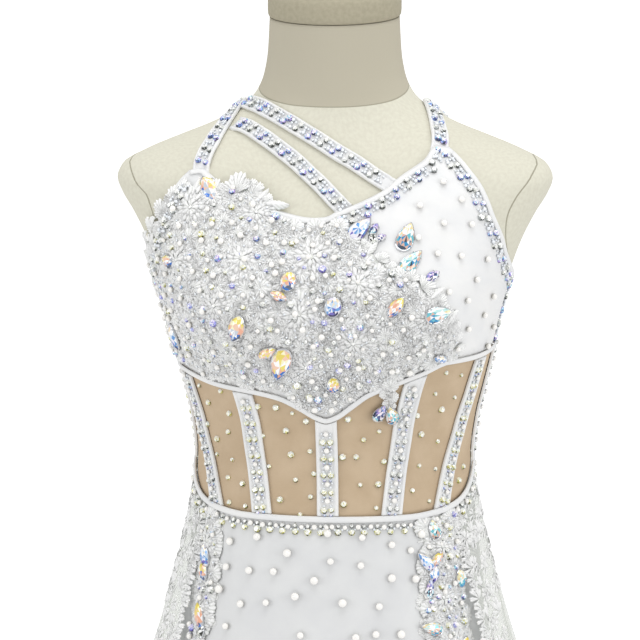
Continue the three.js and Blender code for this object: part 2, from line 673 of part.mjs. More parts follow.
// How far the flowers raise the lace at a point: each is a dome that parts into petals.
function flowerRelief(surface, flowers) {
  const placed = flowers.map(([angle, height, radius, turn]) => {
    const perDegree = surface(angle + 0.5, height).distanceTo(surface(angle - 0.5, height));
    return { angle, height, radius, turn: radians(turn), perDegree };
  });
  return (angle, height) =>
    Math.max(0, ...placed.map((f) => {
      const [x, y] = [(angle - f.angle) * f.perDegree, height - f.height];
      const reach = Math.hypot(x, y) / f.radius;
      const petals = 0.7 + 0.3 * Math.cos(LACE.petals * (Math.atan2(y, x) - f.turn));
      return reach < 1 ? LACE.flowerRise * (1 - reach * reach) * petals : 0;
    }));
}

// A faceted drop-shaped stone: rings of one outline, each at its share of full size and its height.
function stone(surface, lift, [angle, height, length, width, turn]) {
  const east = surface(angle + 0.5, height).distanceTo(surface(angle - 0.5, height));
  const north = surface(angle, height + 0.5).distanceTo(surface(angle, height - 0.5));
  const [c, s] = [Math.cos(radians(turn)), Math.sin(radians(turn))];
  const at = (u, v, rise) =>
    lifted(surface, angle + (u * c - v * s) / east, height + (u * s + v * c) / north, lift + rise);
  const outline = Array.from({ length: STONE_SIDES }, (_, i) => {
    const t = (2 * Math.PI * (i + 0.5)) / STONE_SIDES;
    return [0.5 * width * Math.cos(t) * (1 - 0.3 * Math.sin(t)), 0.5 * length * Math.sin(t)];
  });
  const ring = ([reach, rise]) => outline.map(([u, v]) => at(reach * u, reach * v, rise));
  const rings = STONE_LEVELS.rings.map(ring);
  return stack(rings, at(0, 0, STONE_LEVELS.rings[0][1]), at(0, 0, STONE_LEVELS.tip));
}

function solidOf(geometry) {
  const merged = mergeVertices(geometry, 1e-4);
  const vertProperties = new Float32Array(merged.attributes.position.array);
  const triVerts = new Uint32Array(merged.index.array);
  return new wasm.Manifold(new wasm.Mesh({ numProp: 3, vertProperties, triVerts }));
}

function geometryFrom(solid) {
  const m = solid.getMesh();
  const g = new THREE.BufferGeometry();
  g.setAttribute("position", new THREE.BufferAttribute(new Float32Array(m.vertProperties), 3));
  g.setIndex(new THREE.BufferAttribute(new Uint32Array(m.triVerts), 1));
  return g;
}

// A sheet with large stones fused to its outer face, which lies a distance off its surface.
function withStones(sheet, surface, face, stones) {
  const join = (sum, row) => sum.add(solidOf(stone(surface, face, row)));
  return geometryFrom(stones.reduce(join, solidOf(sheet)));
}

function lacePiece({ surface = bodyPoint, flowers, stones, ...edges }) {
  const { lift, thickness } = LACE;
  const sheet = patch({ surface, lift, thickness, relief: flowerRelief(surface, flowers), ...edges });
  return withStones(sheet, surface, lift + thickness, stones);
}

// Lace on the underskirt's front, one piece at each hip.
const HIP_LACE = {
  plain_side: {
    bottom: [[44, -140], [49, -158], [55, -166], [63.5, -160]],
    left: [[44, -140], [43.5, -110], [44.5, -90], [46, -70], [46, -46]],
    top: [[46, -46], [52, -43], [58, -41.5], [63.5, -39]],
    right: [[63.5, -160], [63.5, -39]],
    flowers: [[54, -62, 16, 0], [52, -99, 16, 10], [55, -135, 17, 20]],
    stones: [[51, -48.5, 15, 10, 18], [45.5, -71, 17, 9, 42], [51, -70, 13, 8, -48], [48.8, -81, 13, 8, -14],
      [46, -91, 14, 7, -12], [62, -88, 13, 10, 0], [45.5, -120, 18, 10, 72], [46.5, -143, 21, 12, -28],
      [59, -140, 21, 12, -32], [54, -160, 18, 10, 15]],
    cols: 5,
    rows: 12,
  },
  lace_side: {
    bottom: [[-63.5, -150], [-58, -143], [-52, -120]],
    left: [[-63.5, -150], [-63.5, -40]],
    top: [[-63.5, -40], [-58, -43], [-54, -52]],
    right: [[-52, -120], [-53, -90], [-54, -52]],
    flowers: [[-59, -62, 15, 10], [-58, -112, 15, 30]],
    stones: [[-59, -73, 17, 9, 20], [-58.5, -85, 14, 8, 22], [-57.5, -118, 21, 9, 24]],
    cols: 4,
    rows: 10,
  },
};

function addLace() {
  const bodice = { ...BODICE_LACE, flowers: BODICE_FLOWERS, stones: BODICE_STONES, cols: 32, rows: 12 };
  add("lace_bodice", lacePiece(bodice), finishes.lace);
  for (const [side, piece] of Object.entries(HIP_LACE))
    add(`lace_hip_${side}`, lacePiece({ surface: underskirtPoint, ...piece }), finishes.lace);
}

addForm();
addBodice();
addStraps();
addMidriff();
addStrips();
addBindings();
addUnderskirt();
addOverskirt();
addLace();

export default group;
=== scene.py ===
"""The looks of a lyrical dance dress on its dress form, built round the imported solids.

Tables give heights in millimetres above the waist and angles in degrees round the body: angle 0 is
the front and positive angles lie towards +X. Shapes are worked out in millimetres and written to
their meshes in metres, in the solids' own frame.
"""
import functools
import logging
import math
from collections.abc import Callable, Sequence
from dataclasses import dataclass
from enum import Enum

import bpy
import numpy as np
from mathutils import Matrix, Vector


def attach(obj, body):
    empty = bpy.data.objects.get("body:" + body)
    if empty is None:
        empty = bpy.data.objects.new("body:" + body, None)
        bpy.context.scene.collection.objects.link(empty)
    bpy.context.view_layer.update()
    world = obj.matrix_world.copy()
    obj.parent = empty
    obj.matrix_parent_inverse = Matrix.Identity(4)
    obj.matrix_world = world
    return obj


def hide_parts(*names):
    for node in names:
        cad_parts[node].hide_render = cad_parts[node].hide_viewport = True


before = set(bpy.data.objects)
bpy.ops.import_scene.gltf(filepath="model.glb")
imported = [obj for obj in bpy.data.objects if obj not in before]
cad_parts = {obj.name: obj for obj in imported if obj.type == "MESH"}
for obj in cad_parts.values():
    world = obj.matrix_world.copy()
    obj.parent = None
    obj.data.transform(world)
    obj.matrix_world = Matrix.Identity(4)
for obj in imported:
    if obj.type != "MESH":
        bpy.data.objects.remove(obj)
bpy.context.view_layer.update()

log = logging.getLogger("dress")

Rows = Sequence[Sequence[float]]
Array = np.ndarray
Value = Array | float
Edge = Callable[[Array], Array]
Node = bpy.types.Node
Piece = bpy.types.Object
Socket = bpy.types.NodeSocket
Tree = bpy.types.NodeTree

MM = 0.001
WAIST_HEIGHT = 900.0
# How far off the form the inner faces of the cloth's layers lie, and the first one's outer face.
CLOTH = 1.2
LAYER_GAP = 0.85
BASE_LAYER = 1.0
BASE_FACE = BASE_LAYER + CLOTH
TOP_LAYER = BASE_FACE + LAYER_GAP
LACE_LAYER = BASE_FACE + 0.9
FORM_BOTTOM = -225.0
NECK_SEAM = 324.0
# The plane of the seam round the neck: its height at the axis and its slope towards the back.
NECK_PLANE = (274.8, 0.33)
# The armhole plates' seams are ovals seen from the side: centre and half axes in y and height.
ARM_PLATE = (2.0, 180.0, 55.0, 42.0)
SIDE_SEAM = 92.0
FRONT_SEAM = 8.0
# Half the gap at a seam in degrees, and how far pieces end from the middle of their binding.
HALF_SEAM = 0.13
UNDER_BINDING = 0.65
FRONT_SPAN = (-SIDE_SEAM + HALF_SEAM, SIDE_SEAM - HALF_SEAM)
BACK_SPAN = (SIDE_SEAM + HALF_SEAM, 360 - SIDE_SEAM - HALF_SEAM)
UNDERSKIRT_HEM = -212.0
SKIRT_FRONT_EDGE = 66.0
SKIRT_HEM_FRONT = -545.0
SKIRT_HEM_BACK = -630.0

# The body's levels: height, half width, depth in front, depth behind and how square it is.
SECTIONS = (
    (-260, 115, 94, 100, 2.1), (-230, 116, 96, 104, 2.1), (-205, 118, 98, 110, 2.15),
    (-175, 117, 98, 112, 2.15), (-140, 113, 95, 106, 2.15), (-100, 109, 90, 97, 2.15),
    (-65, 105.5, 86, 86, 2.1), (-30, 102.5, 81, 76, 2.1), (0, 100.5, 78, 70, 2.1),
    (27, 103.5, 80, 71, 2.1), (53, 109.5, 86, 75, 2.15), (80, 116, 93, 80, 2.2),
    (106, 122, 99, 84, 2.25), (132, 129.5, 98, 88, 2.35), (159, 139, 92, 89, 2.45),
    (181, 150, 84, 88, 2.5), (194, 158, 78, 87, 2.5), (205, 162, 72, 85, 2.5),
    (215, 158, 66, 82, 2.45), (226, 139, 60, 78, 2.4), (236, 115, 54.5, 74, 2.3),
    (246, 90, 50, 68, 2.2), (257, 70, 47, 62, 2.1), (268, 58.5, 46, 57, 2.05),
    (281, 52.5, 46, 53, 2.0), (298, 49.5, 46.5, 50, 2.0), (324, 48, 48, 46, 2.0),
)

# Edges of the pieces, as angle and height.
WAIST_LINE = (
    (0, -38), (40, -38), (55, -36), (66, -32), (74, -26), (81, -18), (88, -9), (96, -1), (108, 5), (180, 8),
)
CUP_HEM = (
    (-180, 80), (-120, 74), (-92, 68), (-68, 65), (-50, 60), (-33, 57), (-22, 53), (-12, 45), (-5, 38.5),
    (0, 36), (5, 38.5), (12, 46.5), (20, 56.5), (30, 64.5), (40, 72), (50, 79), (62, 79), (92, 82),
    (120, 80), (180, 80),
)
NECKLINE = (
    (-60.4, 213), (-57, 214.5), (-54, 211), (-48, 204), (-37, 194), (-25, 188), (-16, 184), (-10, 182.3),
    (-4, 182), (1, 183), (5, 186), (15.5, 191.7), (29, 201), (37, 209.5), (50, 222), (56.8, 231), (61.2, 230),
)
LACE_SIDE_ARMHOLE = (
    (-91.1, 132), (-84, 138), (-76, 145), (-70, 155), (-66, 168), (-63, 185), (-61.5, 200), (-60.4, 213),
)
PLAIN_SIDE_ARMHOLE = (
    (91.1, 132), (84, 138), (76, 145), (70, 155), (66.5, 167), (63, 183), (61.4, 205), (61.2, 230),
)
BACK_TOP = ((92, 134), (104, 126), (120, 118), (140, 115), (180, 114))
SHOULDER_STRAP = (
    (59.2, 231.8), (63, 238), (68.5, 245), (77, 252), (90, 257.5), (106, 254), (120, 243), (131, 224),
    (139, 197), (145, 160), (149, 116.8),
)
LACE_SIDE_STRAP = (
    (-58, 215.4), (-60.5, 225), (-63, 233), (-68, 242.5), *((-a, h) for a, h in SHOULDER_STRAP[3:]),
)
UPPER_DIAGONAL = (
    (-77.5, 260.6), (-69, 260), (-58, 258.4), (-45, 254), (-33, 248.6), (-19, 241.5), (-5, 234), (7, 226.6),
    (18, 219.3), (31.5, 205.6),
)
LOWER_DIAGONAL = (
    (-62, 245.6), (-54.7, 243.5), (-41.5, 236), (-30, 228), (-19, 219.5), (-11, 212), (-3, 204), (7.6, 190.3),
)


# Curves and surfaces


class Curve:
    """A curve through a table's rows with no overshoot: monotone cubic interpolation."""

    def __init__(self, rows: Rows, column: int = 1) -> None:
        """Works out each row's slope: the harmonic mean of its neighbours' rises, or none at a turn.

        Args:
            rows: The table, in rising order of its first column.
            column: The column that the curve follows.
        """
        table = np.array(rows, float)
        self.x, self.y = table[:, 0], table[:, column]
        rise = np.diff(self.y) / np.diff(self.x)
        both, total = rise[:-1] * rise[1:], rise[:-1] + rise[1:]
        inner = np.where(both > 0, 2 * both / np.where(total == 0, 1, total), 0)
        self.slope = np.concatenate([rise[:1], inner, rise[-1:]])

    def __call__(self, at: Value) -> Array:
        """Gives the curve's value at one place or many."""
        v = np.clip(at, self.x[0], self.x[-1])
        i = np.clip(np.searchsorted(self.x, v, side="right") - 1, 0, len(self.x) - 2)
        h = self.x[i + 1] - self.x[i]
        u = (v - self.x[i]) / h
        return (
            (1 + 2 * u) * (1 - u) ** 2 * self.y[i]
            + u * (1 - u) ** 2 * h * self.slope[i]
            + u * u * (3 - 2 * u) * self.y[i + 1]
            + u * u * (u - 1) * h * self.slope[i + 1]
        )


def wrap(angle: Value) -> Array:
    """Brings angles between -180 and 180 degrees."""
    return (np.asarray(angle, float) + 180) % 360 - 180


def smooth(t: Array) -> Array:
    """Eases a share from 0 to 1 with level ends."""
    t = np.clip(t, 0, 1)
    return t * t * (3 - 2 * t)


def unit(vectors: Array) -> Array:
    """Scales vectors to length 1."""
    return vectors / np.linalg.norm(vectors, axis=-1, keepdims=True)


_half_waist = Curve(WAIST_LINE)
_cup_hem = Curve(CUP_HEM)
_back_top = Curve(BACK_TOP)
neckline = Curve(NECKLINE)


def waist_line(angle: Array) -> Array:
    """The waist seam's height."""
    return _half_waist(np.abs(wrap(angle)))


def cup_hem(angle: Array) -> Array:
    """The height of the seam under the cups."""
    return _cup_hem(wrap(angle))


def back_top(angle: Array) -> Array:
    """The height of the back band's upper edge."""
    return _back_top(np.abs(wrap(angle)))


def moved(edge: Edge, by: float) -> Edge:
    """An edge moved up by a distance."""
    return lambda angle: edge(angle) + by


class Surface:
    """A surface round the body, given by angle and height, in millimetres from the floor."""

    def point(self, angle: Array, height: Array) -> Array:
        """Gives the surface's points."""
        raise NotImplementedError

    def steps(self, angle: Array, height: Array) -> tuple[Array, Array]:
        """Gives how the surface moves with a degree of angle and with a millimetre of height."""
        da, dh = 0.05, 0.2
        by_angle = (self.point(angle + da, height) - self.point(angle - da, height)) / (2 * da)
        by_height = (self.point(angle, height + dh) - self.point(angle, height - dh)) / (2 * dh)
        return by_angle, by_height

    def lifted(self, angle: Array, height: Array, lift: Value) -> Array:
        """Gives points off the surface, moved out along its normal by lift."""
        angle, height = np.broadcast_arrays(np.asarray(angle, float), np.asarray(height, float))
        by_angle, by_height = self.steps(angle, height)
        lift = np.broadcast_to(np.asarray(lift, float), angle.shape)
        return self.point(angle, height) + unit(np.cross(by_angle, by_height)) * lift[..., None]


def polar(angle: Array, radius: Array, height: Array) -> Array:
    """Turns angle, radius and height above the waist into points above the floor."""
    t = np.radians(angle)
    return np.stack([radius * np.sin(t), -radius * np.cos(t), height + WAIST_HEIGHT + 0 * radius], -1)


@dataclass(frozen=True)
class Body(Surface):
    """The dress form's surface: squared ellipses, two gentle rises for the bust and a leaning neck."""

    bust_rise: float = 16.0
    bust_angle: float = 33.0
    bust_spread: float = 17.0
    bust_height: float = 118.0
    bust_tallness: float = 30.0
    lean_degrees: float = 7.0
    lean_from: float = 285.0
    lean_over: float = 35.0

    @functools.cached_property
    def curves(self) -> list[Curve]:
        """The sections' columns as curves over height."""
        return [Curve(SECTIONS, column) for column in range(1, 5)]

    def radius(self, angle: Array, height: Array) -> Array:
        """Radius of a squared ellipse: (|cos/depth|^n + |sin/width|^n)^(-1/n), plus the bust's bell."""
        width, front, back, n = (curve(height) for curve in self.curves)
        c, s = np.cos(np.radians(angle)), np.sin(np.radians(angle))
        depth = np.where(c > 0, front, back)
        r = (np.abs(c / depth) ** n + np.abs(s / width) ** n) ** (-1 / n)
        aside = (np.abs(wrap(angle)) - self.bust_angle) / self.bust_spread
        above = (height - self.bust_height) / self.bust_tallness
        return r + self.bust_rise * np.exp(-(aside * aside + above * above) / 2)

    def point(self, angle: Array, height: Array) -> Array:
        """Gives the form's points: near the neck's top each ring tilts down in front."""
        p = polar(angle, self.radius(angle, height), height)
        lean = smooth((height - self.lean_from) / self.lean_over) * math.tan(math.radians(self.lean_degrees))
        p[..., 2] += lean * p[..., 1]
        return p


BODY = Body()


@dataclass(frozen=True)
class Underskirt(Surface):
    """The fitted underskirt's surface: the body's, standing off a little more towards the hem."""

    ease: float = 2.5
    ease_over: float = 160.0

    def stand_off(self, drop: Array) -> Array:
        """How far the cloth stands off the body, a drop below the waist seam."""
        return self.ease * smooth(drop / self.ease_over)

    def point(self, angle: Array, height: Array) -> Array:
        """Gives the body's points, moved out by the stand-off."""
        return BODY.lifted(angle, height, self.stand_off(waist_line(angle) - height))


UNDER = Underskirt()


@dataclass(frozen=True)
class Overskirt(Surface):
    """The overskirt's surface: a flared skirt whose flutes deepen towards the hem."""

    flare: float = 0.085
    more_flare: float = 0.13
    length: float = 600.0
    hip_level: float = -190.0
    flutes: float = 10.0
    flute_depth: float = 27.0
    flute_growth: float = 1.15
    wander: float = 0.35
    wander_rate: float = 5.1
    uneven: float = 0.2
    uneven_rate: float = 7.0
    shift: float = 0.9
    ripple_depth: float = 2.4
    ripple_growth: float = 1.6
    ripple_rate: float = 61.0

    @staticmethod
    def top(angle: Array) -> Array:
        """The height of the skirt's upper edge, just under the waist binding."""
        return waist_line(angle) - 3.5

    @staticmethod
    def turn(angle: Array) -> Array:
        """How far round from the front edge to the back seam an angle lies, from 0 to 1."""
        return np.clip((np.abs(wrap(angle)) - SKIRT_FRONT_EDGE) / (180 - SKIRT_FRONT_EDGE), 0, 1)

    def hem(self, angle: Array) -> Array:
        """The hem's height, lower at the back."""
        return SKIRT_HEM_FRONT + (SKIRT_HEM_BACK - SKIRT_HEM_FRONT) * smooth(self.turn(angle))

    def point(self, angle: Array, height: Array) -> Array:
        """Radius: the body's, a flare that grows with the drop, a wave for the flutes and a small ripple."""
        drop = np.maximum(0, self.top(angle) - height)
        share = drop / self.length
        turn = self.turn(angle)
        shift = np.where(wrap(angle) < 0, self.shift * (1 - turn), 0)
        phase = np.pi * self.flutes * turn + self.wander * np.sin(self.wander_rate * turn) + 2 * shift
        uneven = 1 - self.uneven + self.uneven * np.cos(self.uneven_rate * turn + 4 * shift)
        depth = self.flute_depth * uneven * smooth(share * self.flute_growth)
        ripple = np.sin(self.ripple_rate * turn + 5 * share + 3 * shift)
        ripple = self.ripple_depth * smooth(share * self.ripple_growth) * ripple
        radius = BODY.radius(angle, np.maximum(height, self.hip_level)) + BASE_FACE
        radius = radius + UNDER.stand_off(drop) + drop * (self.flare + self.more_flare * share)
        return polar(angle, radius + depth * np.cos(phase) + ripple, height)


OVER = Overskirt()


class Line:
    """A smooth line through rows of angle and height, evenly measured along its length.

    It is a centripetal Catmull-Rom spline. A degree counts as STRETCH millimetres.
    """

    STRETCH = 2.0

    def __init__(self, rows: Rows, fineness: int = 24) -> None:
        """Samples the spline: each span is the cubic whose end slopes come from its neighbours' spacing.

        Args:
            rows: Angles and heights in order along the line.
            fineness: Samples in each span.
        """
        p = np.array(rows, float) * (self.STRETCH, 1)
        p = np.concatenate([2 * p[:1] - p[1:2], p, 2 * p[-1:] - p[-2:-1]])
        d = np.sqrt(np.linalg.norm(np.diff(p, axis=0), axis=1))[:, None]
        a, b, c = (np.diff(p, axis=0) / d)[:-2], (np.diff(p, axis=0) / d)[1:-1], (np.diff(p, axis=0) / d)[2:]
        wide_before = (p[2:-1] - p[:-3]) / (d[:-2] + d[1:-1])
        wide_after = (p[3:] - p[1:-2]) / (d[1:-1] + d[2:])
        start, end = (a - wide_before + b) * d[1:-1], (b - wide_after + c) * d[1:-1]
        t = np.linspace(0, 1, fineness + 1)[:-1, None, None]
        first, last = p[1:-2], p[2:-1]
        spans = (
            first + start * t + (3 * (last - first) - 2 * start - end) * t**2
            + (2 * (first - last) + start + end) * t**3
        )
        self.points = np.concatenate([spans.transpose(1, 0, 2).reshape(-1, 2), p[-2:-1]])
        gaps = np.linalg.norm(np.diff(self.points, axis=0), axis=1)
        self.along = np.concatenate([[0], np.cumsum(gaps)]) / gaps.sum()

    def __call__(self, share: Array) -> Array:
        """Gives angle and height at shares of the line's length, in a last axis of two."""
        flat = [np.interp(share, self.along, self.points[:, k]) for k in range(2)]
        return np.stack([flat[0] / self.STRETCH, flat[1]], -1)


def rows_of(edge: Edge, start: float, end: float, count: int = 16) -> Array:
    """Rows of angle and height along an edge between two angles."""
    angle = np.linspace(start, end, count + 1)
    return np.stack([angle, edge(angle)], -1)


def coons(bottom: Rows, top: Rows, left: Rows, right: Rows, cols: int, rows: int) -> tuple[Array, Array]:
    """A grid of angles and heights that fills four edges.

    It is the Coons patch: the blend of left and right, plus that of bottom and top, less that of
    the corners.

    Args:
        bottom, top: Rows that run towards greater angles.
        left, right: Rows that run upwards.
        cols, rows: Spans across and upwards.

    Returns:
        The angles and the heights, each with a row for each level.
    """
    u, v = np.linspace(0, 1, cols + 1)[None, :, None], np.linspace(0, 1, rows + 1)[:, None, None]
    b, t = Line(bottom)(u[0, :, 0])[None], Line(top)(u[0, :, 0])[None]
    l, r = Line(left)(v[:, 0, 0])[:, None], Line(right)(v[:, 0, 0])[:, None]
    corners = (b[:, :1] * (1 - u) + b[:, -1:] * u) * (1 - v) + (t[:, :1] * (1 - u) + t[:, -1:] * u) * v
    grid = l * (1 - u) + r * u + b * (1 - v) + t * v - corners
    return grid[..., 0], grid[..., 1]


def between(low: Edge, high: Edge, start: float, end: float, cols: int, rows: int) -> tuple[Array, Array]:
    """A grid of angles and heights between two edges, from one angle to another."""
    angle = np.linspace(start, end, cols + 1)[None, :]
    v = np.linspace(0, 1, rows + 1)[:, None]
    height = low(angle) * (1 - v) + high(angle) * v
    return angle + 0 * v, height


@dataclass
class Spots:
    """Places on a surface: angle, height, size in millimetres and turn in degrees."""

    angle: Array
    height: Array
    size: Array
    turn: Array

    @classmethod
    def of(cls, angle: Array, height: Array, size: Value = 1.0, turn: Value = 0.0) -> "Spots":
        """Makes spots of one or many sizes and turns."""
        columns = (np.atleast_1d(np.asarray(v, float)) for v in (angle, height, size, turn))
        return cls(*(a.copy() for a in np.broadcast_arrays(*columns)))

    @classmethod
    def joined(cls, several: Sequence["Spots"]) -> "Spots":
        """Puts several lists of spots into one."""
        columns = ([getattr(s, name) for s in several] for name in ("angle", "height", "size", "turn"))
        return cls(*(np.concatenate(column) for column in columns))

    def __len__(self) -> int:
        """The number of spots."""
        return len(self.angle)

    def only(self, keep: Array) -> "Spots":
        """Gives some of the spots."""
        return Spots(self.angle[keep], self.height[keep], self.size[keep], self.turn[keep])


class Track:
    """A line on a surface that gives places by their distance along it and to its left."""

    def __init__(self, surface: Surface, rows: Rows, samples: int = 320) -> None:
        """Measures the line on the surface and finds what a millimetre to its left is in angle and height.

        Args:
            surface: What the line lies on.
            rows: The line's angles and heights.
            samples: How finely it is measured.
        """
        self.line = Line(rows)(np.linspace(0, 1, samples))
        angle, height = self.line[:, 0], self.line[:, 1]
        points = surface.point(angle, height)
        gaps = np.linalg.norm(np.diff(points, axis=0), axis=1)
        self.along = np.concatenate([[0], np.cumsum(gaps)])
        self.length = float(self.along[-1])
        by_angle, by_height = surface.steps(angle, height)
        forward = unit(np.gradient(points, axis=0))
        normal = unit(np.cross(by_angle, by_height))
        left = np.cross(normal, forward)
        self.left, self.ahead = (self._step(by_angle, by_height, v) for v in (left, forward))
        east, north = unit(by_angle), np.cross(normal, unit(by_angle))
        self.heading = np.unwrap(np.arctan2((forward * north).sum(1), (forward * east).sum(1)))

    @staticmethod
    def _step(by_angle: Array, by_height: Array, direction: Array) -> Array:
        """Solves for the angle and height that move a point by a direction along the surface."""
        aa, ab, bb = (by_angle**2).sum(1), (by_angle * by_height).sum(1), (by_height**2).sum(1)
        sa, sb = (direction * by_angle).sum(1), (direction * by_height).sum(1)
        det = aa * bb - ab * ab
        return np.stack([(sa * bb - sb * ab) / det, (sb * aa - sa * ab) / det], -1)

    def at(self, along: Array, left: Value, slant: Value = 0.0) -> tuple[Array, Array, Array]:
        """Gives places beside the line.

        Args:
            along: Distances from the line's start, in millimetres.
            left: Distances to its left.
            slant: How far a place runs on for each step to the left.

        Returns:
            Angles, heights and the line's heading in degrees. Past its ends the line runs straight on.
        """
        along, left, slant = np.broadcast_arrays(*(np.asarray(v, float) for v in (along, left, slant)))
        onward = left * slant + along - np.clip(along, 0, self.length)

        def pick(values: Array) -> Array:
            """Gives a column's values at the places."""
            return np.interp(along, self.along, values)

        angle, height = (
            pick(self.line[:, k]) + left * pick(self.left[:, k]) + onward * pick(self.ahead[:, k])
            for k in range(2)
        )
        return angle, height, np.degrees(pick(self.heading))

    def spots(self, along: Array, left: Value, size: Value, turn: Value = 0.0) -> Spots:
        """Gives spots beside the line, turned with it."""
        angle, height, heading = self.at(along, left)
        return Spots.of(angle, height, size, heading + turn)


# Meshes


def grid_faces(rows: int, cols: int, ring: bool = False) -> Array:
    """Quads of a grid of points. A ring joins its last column to its first."""
    index = np.arange(rows * cols).reshape(rows, cols)
    if ring:
        index = np.concatenate([index, index[:, :1]], 1)
    return np.stack([index[:-1, :-1], index[:-1, 1:], index[1:, 1:], index[1:, :-1]], -1).reshape(-1, 4)


def cloth_uv(points: Array) -> Array:
    """Lays a grid of points flat in metres: lengths along its rows, from the middle, and up its columns."""
    across = np.linalg.norm(np.diff(points, axis=1), axis=2)
    upward = np.linalg.norm(np.diff(points, axis=0), axis=2)
    u = np.concatenate([np.zeros((len(points), 1)), np.cumsum(across, 1)], 1)
    v = np.concatenate([np.zeros((1, points.shape[1])), np.cumsum(upward, 0)], 0)
    return np.stack([u - u[:, [u.shape[1] // 2]], v], -1) * MM


@dataclass
class Shape:
    """A mesh in the making.

    points are in millimetres. faces holds arrays of faces of one size each, smooth says which of
    them are shaded smooth. uv and cord belong to the points, tint to the faces.
    """

    points: Array
    faces: list[Array]
    smooth: list[bool]
    uv: Array | None = None
    cord: Array | None = None
    tint_and_reflection: list[Array] | None = None

    @classmethod
    def joined(cls, shapes: Sequence["Shape"]) -> "Shape":
        """Puts several shapes into one."""
        starts = np.concatenate([[0], np.cumsum([len(s.points) for s in shapes])])
        whole = cls(
            np.concatenate([s.points for s in shapes]),
            [f + start for s, start in zip(shapes, starts) for f in s.faces],
            [flag for s in shapes for flag in s.smooth],
        )
        for name in ("uv", "cord"):
            if all(getattr(s, name) is not None for s in shapes):
                setattr(whole, name, np.concatenate([getattr(s, name) for s in shapes]))
        if all(s.tint_and_reflection is not None for s in shapes):
            whole.tint_and_reflection = [t for s in shapes for t in s.tint_and_reflection]
        return whole

    def build(self, name: str, finish: "Finish", replaces: Sequence[str] = ()) -> Piece:
        """Writes the mesh, dresses it and hangs it on the object's one body.

        Args:
            name: The piece's name.
            finish: What it is made of.
            replaces: The solids that it stands for.

        Returns:
            The piece's object.
        """
        mesh = bpy.data.meshes.new(name)
        sizes = np.concatenate([np.full(len(f), f.shape[1]) for f in self.faces])
        corners = np.concatenate([f.ravel() for f in self.faces]).astype(np.int32)
        mesh.vertices.add(len(self.points))
        mesh.vertices.foreach_set("co", (self.points * MM).astype(np.float32).ravel())
        mesh.loops.add(len(corners))
        mesh.loops.foreach_set("vertex_index", corners)
        mesh.polygons.add(len(sizes))
        mesh.polygons.foreach_set("loop_start", np.concatenate([[0], np.cumsum(sizes)[:-1]]).astype(np.int32))
        flags = np.concatenate([np.full(len(f), s) for f, s in zip(self.faces, self.smooth)])
        mesh.polygons.foreach_set("use_smooth", flags)
        if self.uv is not None:
            layer = mesh.uv_layers.new(name="cloth")
            layer.data.foreach_set("uv", self.uv[corners].astype(np.float32).ravel())
        if self.cord is not None:
            layer = mesh.attributes.new("cord", "FLOAT", "POINT")
            layer.data.foreach_set("value", self.cord.astype(np.float32))
        if self.tint_and_reflection is not None:
            colours = np.repeat(np.concatenate(self.tint_and_reflection), sizes, axis=0)
            colours = np.concatenate([colours, np.ones((len(colours), 1))], 1)
            layer = mesh.color_attributes.new(name="tint_and_reflection", type="FLOAT_COLOR", domain="CORNER")
            layer.data.foreach_set("color", colours.astype(np.float32).ravel())
        mesh.update(calc_edges=True)
        mesh.validate()
        piece = bpy.data.objects.new(name, mesh)
        bpy.context.scene.collection.objects.link(piece)
        mesh.materials.append(material_of(finish))
        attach(piece, "root")
        if replaces:
            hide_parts(*replaces)
        log.info("%s: %d faces of %s", name, len(sizes), finish.name)
        return piece


def capped(points: Array, smooth_top: bool = False) -> Shape:
    """A closed tube: each row of the grid is a ring, and the first and last ring have a face over them."""
    rows, cols = points.shape[:2]
    ring = np.arange(cols)[None]
    faces = [grid_faces(rows, cols, ring=True), ring[:, ::-1], ring + (rows - 1) * cols]
    return Shape(
        points.reshape(-1, 3), faces, [True, False, smooth_top], uv=cloth_uv(points).reshape(-1, 2))


def shell(outer: Array, inner: Array) -> Shape:
    """A closed wall between two grids of points, with crisp rims."""
    rows, cols = outer.shape[:2]
    faces = grid_faces(rows, cols)
    n = rows * cols
    index = np.arange(n).reshape(rows, cols)

    def rim(line: Array) -> Array:
        """Quads that join a border of the outer grid, run anticlockwise, to the inner one."""
        return np.stack([line[:-1] + n, line[1:] + n, line[1:], line[:-1]], -1)

    rims = [rim(index[0]), rim(index[-1, ::-1]), rim(index[:, -1]), rim(index[::-1, 0])]
    return Shape(
        np.concatenate([outer.reshape(-1, 3), inner.reshape(-1, 3)]),
        [faces, faces[:, ::-1] + n, np.concatenate(rims)],
        [True, True, False],
        uv=np.concatenate([cloth_uv(outer).reshape(-1, 2)] * 2),
    )


def welt(surface: Surface, angle: Array, height: Array, lift: float, half_width: float, half_height: float,
         ring: bool = False, sides: int = 12) -> Shape:
    """A cord along a line on a surface: ellipses across the line, half_width by half_height, in a row.

    Args:
        surface: What it lies on.
        angle, height: The line.
        lift: How far its underside is off the surface.
        half_width, half_height: The ellipse's half axes.
        ring: Whether its end meets its start.
        sides: Points round the ellipse.

    Returns:
        The closed cord.
    """
    centre = surface.lifted(angle, height, lift + half_height)
    normal = unit(centre - surface.point(angle, height))
    if ring:
        ahead = unit(np.roll(centre, -1, 0) - np.roll(centre, 1, 0))
    else:
        ahead = unit(np.gradient(centre, axis=0))
    left = np.cross(normal, ahead)
    phi = np.linspace(0, 2 * np.pi, sides, endpoint=False)[None, :, None]
    tube = centre[:, None] + left[:, None] * half_width * np.cos(phi)
    tube = tube + normal[:, None] * half_height * np.sin(phi)
    if ring:
        tube = np.concatenate([tube, tube[:1]])
    along = np.arange(len(tube))[:, None] * np.linalg.norm(centre[1] - centre[0])
    shape = capped(tube)
    shape.uv = (np.stack(np.broadcast_arrays(phi[..., 0] * half_width, along), -1) * MM).reshape(-1, 2)
    if ring:
        shape.faces, shape.smooth = shape.faces[:1], [True]
    return shape


